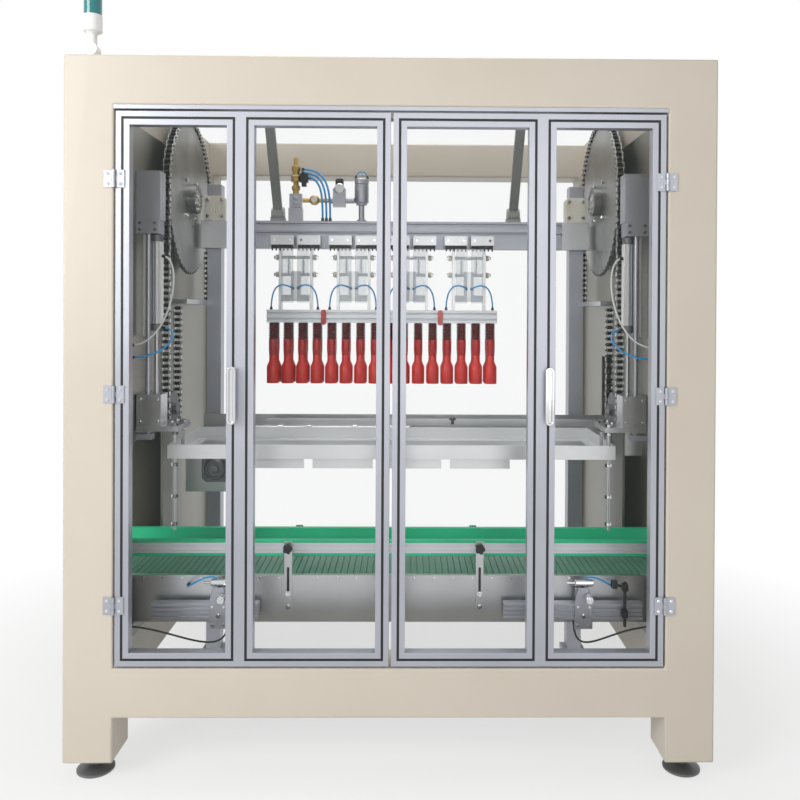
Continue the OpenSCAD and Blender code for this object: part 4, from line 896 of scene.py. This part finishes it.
for s in sides.values():
    for x in bearing["x"]:
        for z in bearing["z"]:
            addHex(mesh, at(s * x, bearing["face"], z), (0, -1, 0), *bearing["boltSize"])
    for x in yokeFoot["spread"]:
        for depth in yokeFoot["depths"]:
            addHex(mesh, at(s * yokeFoot["x"] + x, depth, yokeFoot["z"]), (0, 0, 1), *yokeFoot["boltSize"])
    addHex(mesh, at(s * yokeFoot["pinX"], beamDepth, yokeFoot["pinZ"]), (s, 0, 0), *yokeFoot["pinSize"])
makePiece("carriageBolts", mesh, paints["chrome"], "head")
print("head done")

# Grippers: ribbed bellows, sleeve, bell with an open mouth
gripper = dict(rows=(927, 995), perGroup=4, pitch=67.5, collar=(16, 1607), bellowsR=21, stemR=15.5,
               bellowsZ=(1605, 1530), ribs=7, fold=(1, 4, 7, 10), sleeveR=20, sleeveTop=17, sleeveTip=17.5,
               sleeveZ=(1531, 1457), sleeveStep=1472, neckR=18, neckZ=(1459, 1430),
               shoulder=((20, 1424), (26.5, 1409)), bellR=29, bellZ=(1402, 1326), mouthR=23, mouthTop=1400,
               throat=(8, 1426), edgeR=1, edgeH=3, lip=2)
folds = [gripper["collar"]]
high, low = gripper["bellowsZ"]
for rib in range(gripper["ribs"]):
    top = high - rib * (high - low) / gripper["ribs"]
    for r, down in zip((gripper["stemR"], gripper["bellowsR"], gripper["bellowsR"], gripper["stemR"]),
                       gripper["fold"]):
        folds.append((r, top - down))
folds.append((gripper["stemR"], low))
high, low = gripper["sleeveZ"]
waist = gripper["sleeveR"] - gripper["edgeR"]
sleeve = [(gripper["sleeveTop"], high), (gripper["sleeveR"], high - gripper["edgeH"]),
          (gripper["sleeveR"], gripper["sleeveStep"] + gripper["lip"]), (waist, gripper["sleeveStep"]),
          (waist, low + gripper["edgeH"]), (gripper["sleeveTip"], low)]
high, low = gripper["neckZ"]
bell = [(gripper["neckR"] - gripper["edgeR"], high), (gripper["neckR"], high - gripper["edgeH"]),
        (gripper["neckR"], low), *gripper["shoulder"]]
high, low = gripper["bellZ"]
bell += [(gripper["bellR"], high), (gripper["bellR"], low + gripper["lip"]),
         (gripper["bellR"] - gripper["edgeR"], low), (gripper["mouthR"] + gripper["edgeR"], low),
         (gripper["mouthR"], low + gripper["lip"]), (gripper["mouthR"], gripper["mouthTop"]),
         gripper["throat"]]
bellows = bmesh.new()
sleeves = bmesh.new()
bells = bmesh.new()
for x in groupXs:
    for k in range(gripper["perGroup"]):
        for depth in gripper["rows"]:
            base = at(x + (k - (gripper["perGroup"] - 1) / 2) * gripper["pitch"], depth, 0)
            addTurned(bellows, folds, base, (0, 0, 1), sides=18)
            addTurned(sleeves, sleeve, base, (0, 0, 1), sides=20)
            addTurned(bells, bell, base, (0, 0, 1), sides=24)
sets = [f"gripper_set_{i}" for i in range(1, 5)]
for name, mesh, paint in (("bellows", bellows, "bellows"), ("sleeves", sleeves, "sleeve"),
                          ("bells", bells, "red")):
    piece = makePiece(name, mesh, paints[paint], "head")
    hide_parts(*sets)
print("grippers done")

# Air unit on the beam: manifold, brass valve, regulator with gauge, filter cup
air = dict(postX=-478, z=2190, lowBlock=(33, (1015, 1059), (0, 62)), highBlock=(29, (1018, 1056), (64, 130)),
           plugZs=(84, 108), plug=((10, 0), (10, 6), (7, 8)), regulatorX=(-300, -240), regulatorZ=(-30, 56),
           pipes=((-320, -300, 15), (-240, -198, 14)), cupX=-164,
           cup=((22, -100), (22, -92), (14, -90), (14, -24), (26, -22), (26, -14), (32, -12), (34, -8),
                (34, 72), (30, 76), (34, 78), (34, 100), (30, 104)))
mesh = bmesh.new()
for half, depths, heights in (air["lowBlock"], air["highBlock"]):
    addBlock(mesh, (air["postX"] - half, air["postX"] + half), depths, [headTop + z for z in heights])
for z in air["plugZs"]:
    addTurned(mesh, air["plug"], at(air["postX"], air["highBlock"][1][0], headTop + z), (0, -1, 0), sides=18)
addBlock(mesh, air["regulatorX"], air["lowBlock"][1], [air["z"] + z for z in air["regulatorZ"]])
for x0, x1, r in air["pipes"]:
    addRod(mesh, at(x0, beamDepth, air["z"]), at(x1, beamDepth, air["z"]), r)
addTurned(mesh, air["cup"], at(air["cupX"], beamDepth, air["z"]), (0, 0, 1), sides=32)
post = makePiece("airBodies", mesh, paints["aluminium"], "head", bevel=1.5)
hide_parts("air_valve_post", "filter_regulator")
valve = dict(body=((15, 130), (15, 146), (20, 148), (20, 168), (13, 170), (13, 184), (24, 188), (24, 214),
                   (17, 220), (17, 238), (21, 240), (21, 262), (12, 266), (12, 302)), bodySides=6,
             pipe=(-445, -320, 11), smallX=-388, small=((24, 0), (24, 14), (20, 18), (20, 30), (16, 34)),
             coil=((20, 58), (1022, 1052), (186, 226)), pin=(58, 76, 206, 6),
             neck=((28, 50), (1026, 1048), (166, 186)), knobX=-270,
             knob=((16, 56), (20, 60), (20, 98), (17, 104)))
mesh = bmesh.new()
addTurned(mesh, valve["body"], at(air["postX"], beamDepth, headTop), (0, 0, 1), valve["bodySides"])
x0, x1, r = valve["pipe"]
addRod(mesh, at(x0, beamDepth, air["z"]), at(x1, beamDepth, air["z"]), r)
addTurned(mesh, valve["small"], at(valve["smallX"], beamDepth, air["z"]), (0, -1, 0), sides=24)
makePiece("brassValve", mesh, paints["brass"], "head", bevel=1)
mesh = bmesh.new()
across, depths, heights = valve["coil"]
addBlock(mesh, [air["postX"] + x for x in across], depths, [headTop + z for z in heights])
x0, x1, z, r = valve["pin"]
addRod(mesh, at(air["postX"] + x0, beamDepth, headTop + z), at(air["postX"] + x1, beamDepth, headTop + z), r)
across, depths, heights = valve["neck"]
addBlock(mesh, [air["postX"] + x for x in across], depths, [headTop + z for z in heights])
addTurned(mesh, valve["knob"], at(valve["knobX"], beamDepth, air["z"]), (0, 0, 1), sides=14)
makePiece("solenoid", mesh, paints["black"], "head", bevel=1.5)
gauge = dict(x=-267, z=2242, depth=1015, case=((24, 0), (24, 22), (21, 24), (20, 22)), dialDepth=993,
             dial=((19.8, 0), (19.8, 0.6)), smallDepth=1003, smallDial=((14, 0), (14, 0.6), (10, 1)))
mesh = bmesh.new()
addTurned(mesh, gauge["case"], at(gauge["x"], gauge["depth"], gauge["z"]), (0, -1, 0), sides=32)
makePiece("gaugeCase", mesh, paints["chrome"], "head")
mesh = bmesh.new()
addTurned(mesh, gauge["dial"], at(gauge["x"], gauge["dialDepth"], gauge["z"]), (0, -1, 0), sides=32)
addTurned(mesh, gauge["smallDial"], at(valve["smallX"], gauge["smallDepth"], air["z"]), (0, -1, 0), sides=24)
makePiece("gaugeDial", mesh, paints["white"], "head")
print("air unit done")

# Camera and light
photo = dict(lens=36.46, sensor=36, shiftX=-0.0194, shiftY=-0.1039, x=52, distance=2850, height=1659,
             pitch=-0.35, roll=-0.28, yaw=-0.66)  # turns in degrees
camera = bpy.data.objects.new("camera", bpy.data.cameras.new("camera"))
bpy.context.scene.collection.objects.link(camera)
camera.data.lens = photo["lens"]
camera.data.sensor_width = photo["sensor"]
camera.data.shift_x = photo["shiftX"]
camera.data.shift_y = photo["shiftY"]
camera.location = at(photo["x"], -photo["distance"], photo["height"])
camera.rotation_euler = [math.radians(a) for a in (90 + photo["pitch"], photo["roll"], photo["yaw"])]
bpy.context.scene.camera = camera

studio = dict(fadeFrom=-0.35, fadeTo=0.45, low=0.15, high=0.5, reach=40, cells=8, drop=0.5, pale=0.8,
              shadow=0.35, near=1.5, far=2.8)  # reach, near and far in metres


def addSeen(tree):
    rays = tree.nodes.new("ShaderNodeLightPath")
    seen = rays.outputs["Is Camera Ray"]
    for kind in ("Is Glossy Ray", "Is Transmission Ray"):
        either = tree.nodes.new("ShaderNodeMath")
        either.operation = "MAXIMUM"
        tree.links.new(seen, either.inputs[0])
        tree.links.new(rays.outputs[kind], either.inputs[1])
        seen = either.outputs["Value"]
    return seen


world = bpy.data.worlds.new("studio")
bpy.context.scene.world = world
world.use_nodes = True
tree = world.node_tree
sky = tree.nodes["Background"]
direction = tree.nodes.new("ShaderNodeTexCoord")
split = tree.nodes.new("ShaderNodeSeparateXYZ")
fade = tree.nodes.new("ShaderNodeMapRange")
fade.inputs["From Min"].default_value = studio["fadeFrom"]
fade.inputs["From Max"].default_value = studio["fadeTo"]
fade.inputs["To Min"].default_value = studio["low"]
fade.inputs["To Max"].default_value = studio["high"]
tree.links.new(direction.outputs["Generated"], split.inputs["Vector"])
tree.links.new(split.outputs["Z"], fade.inputs["Value"])
tree.links.new(fade.outputs["Result"], sky.inputs["Strength"])
sky.inputs["Color"].default_value = (1, 1, 1, 1)
backdrop = tree.nodes.new("ShaderNodeBackground")
backdrop.inputs["Color"].default_value = (1, 1, 1, 1)
choose = tree.nodes.new("ShaderNodeMixShader")
tree.links.new(addSeen(tree), choose.inputs["Fac"])
tree.links.new(sky.outputs["Background"], choose.inputs[1])
tree.links.new(backdrop.outputs["Background"], choose.inputs[2])
tree.links.new(choose.outputs["Shader"], tree.nodes["World Output"].inputs["Surface"])


# Pale floor that keeps the shadow near the feet and fades into the backdrop
floorPaint = bpy.data.materials.new("pale floor")
floorPaint.use_nodes = True
tree = floorPaint.node_tree
tree.nodes.remove(tree.nodes["Principled BSDF"])
matt = tree.nodes.new("ShaderNodeBsdfDiffuse")
matt.inputs["Color"].default_value = (studio["pale"], studio["pale"], studio["pale"], 1)
glow = tree.nodes.new("ShaderNodeEmission")
spot = tree.nodes.new("ShaderNodeTexCoord")
away = tree.nodes.new("ShaderNodeVectorMath")
away.operation = "LENGTH"
share = tree.nodes.new("ShaderNodeMapRange")
share.inputs["From Min"].default_value = studio["near"]
share.inputs["From Max"].default_value = studio["far"]
share.inputs["To Min"].default_value = 1 - studio["shadow"]
share.inputs["To Max"].default_value = 1
amount = tree.nodes.new("ShaderNodeMath")
amount.operation = "MULTIPLY"
blend = tree.nodes.new("ShaderNodeMixShader")
tree.links.new(spot.outputs["Object"], away.inputs[0])
tree.links.new(away.outputs["Value"], share.inputs["Value"])
tree.links.new(share.outputs["Result"], amount.inputs[0])
tree.links.new(addSeen(tree), amount.inputs[1])
tree.links.new(amount.outputs["Value"], blend.inputs["Fac"])
tree.links.new(matt.outputs["BSDF"], blend.inputs[1])
tree.links.new(glow.outputs["Emission"], blend.inputs[2])
tree.links.new(blend.outputs["Shader"], tree.nodes["Material Output"].inputs["Surface"])
sheet = bmesh.new()
bmesh.ops.create_grid(sheet, x_segments=studio["cells"], y_segments=studio["cells"], size=studio["reach"])
floorMesh = bpy.data.meshes.new("studioFloor")
sheet.to_mesh(floorMesh)
sheet.free()
floorMesh.materials.append(floorPaint)
studioFloor = bpy.data.objects.new("studioFloor", floorMesh)
studioFloor.location = (0, 0, -studio["drop"] * mm)
bpy.context.scene.collection.objects.link(studioFloor)


def addLight(name, place, target, size, power):
    data = bpy.data.lights.new(name, "AREA")
    data.size = size
    data.energy = power
    lamp = bpy.data.objects.new(name, data)
    lamp.location = place
    lamp.rotation_euler = (Vector(target) - Vector(place)).to_track_quat("-Z", "Y").to_euler()
    bpy.context.scene.collection.objects.link(lamp)


lamps = dict(key=((-3.6, -3.9, 3.0), (0, 0, 1.4), 2.5, 150), top=((0, 0.1, 5.2), (0, 0, 1), 2.5, 60),
             fill=((0.6, -5.6, 2.3), (0, 0, 1.3), 3, 45))  # place, target, size in metres, watts
for name, values in lamps.items():
    addLight(name, *values)
print("camera and light done")

view = bpy.context.scene.view_settings
view.view_transform = "Standard"
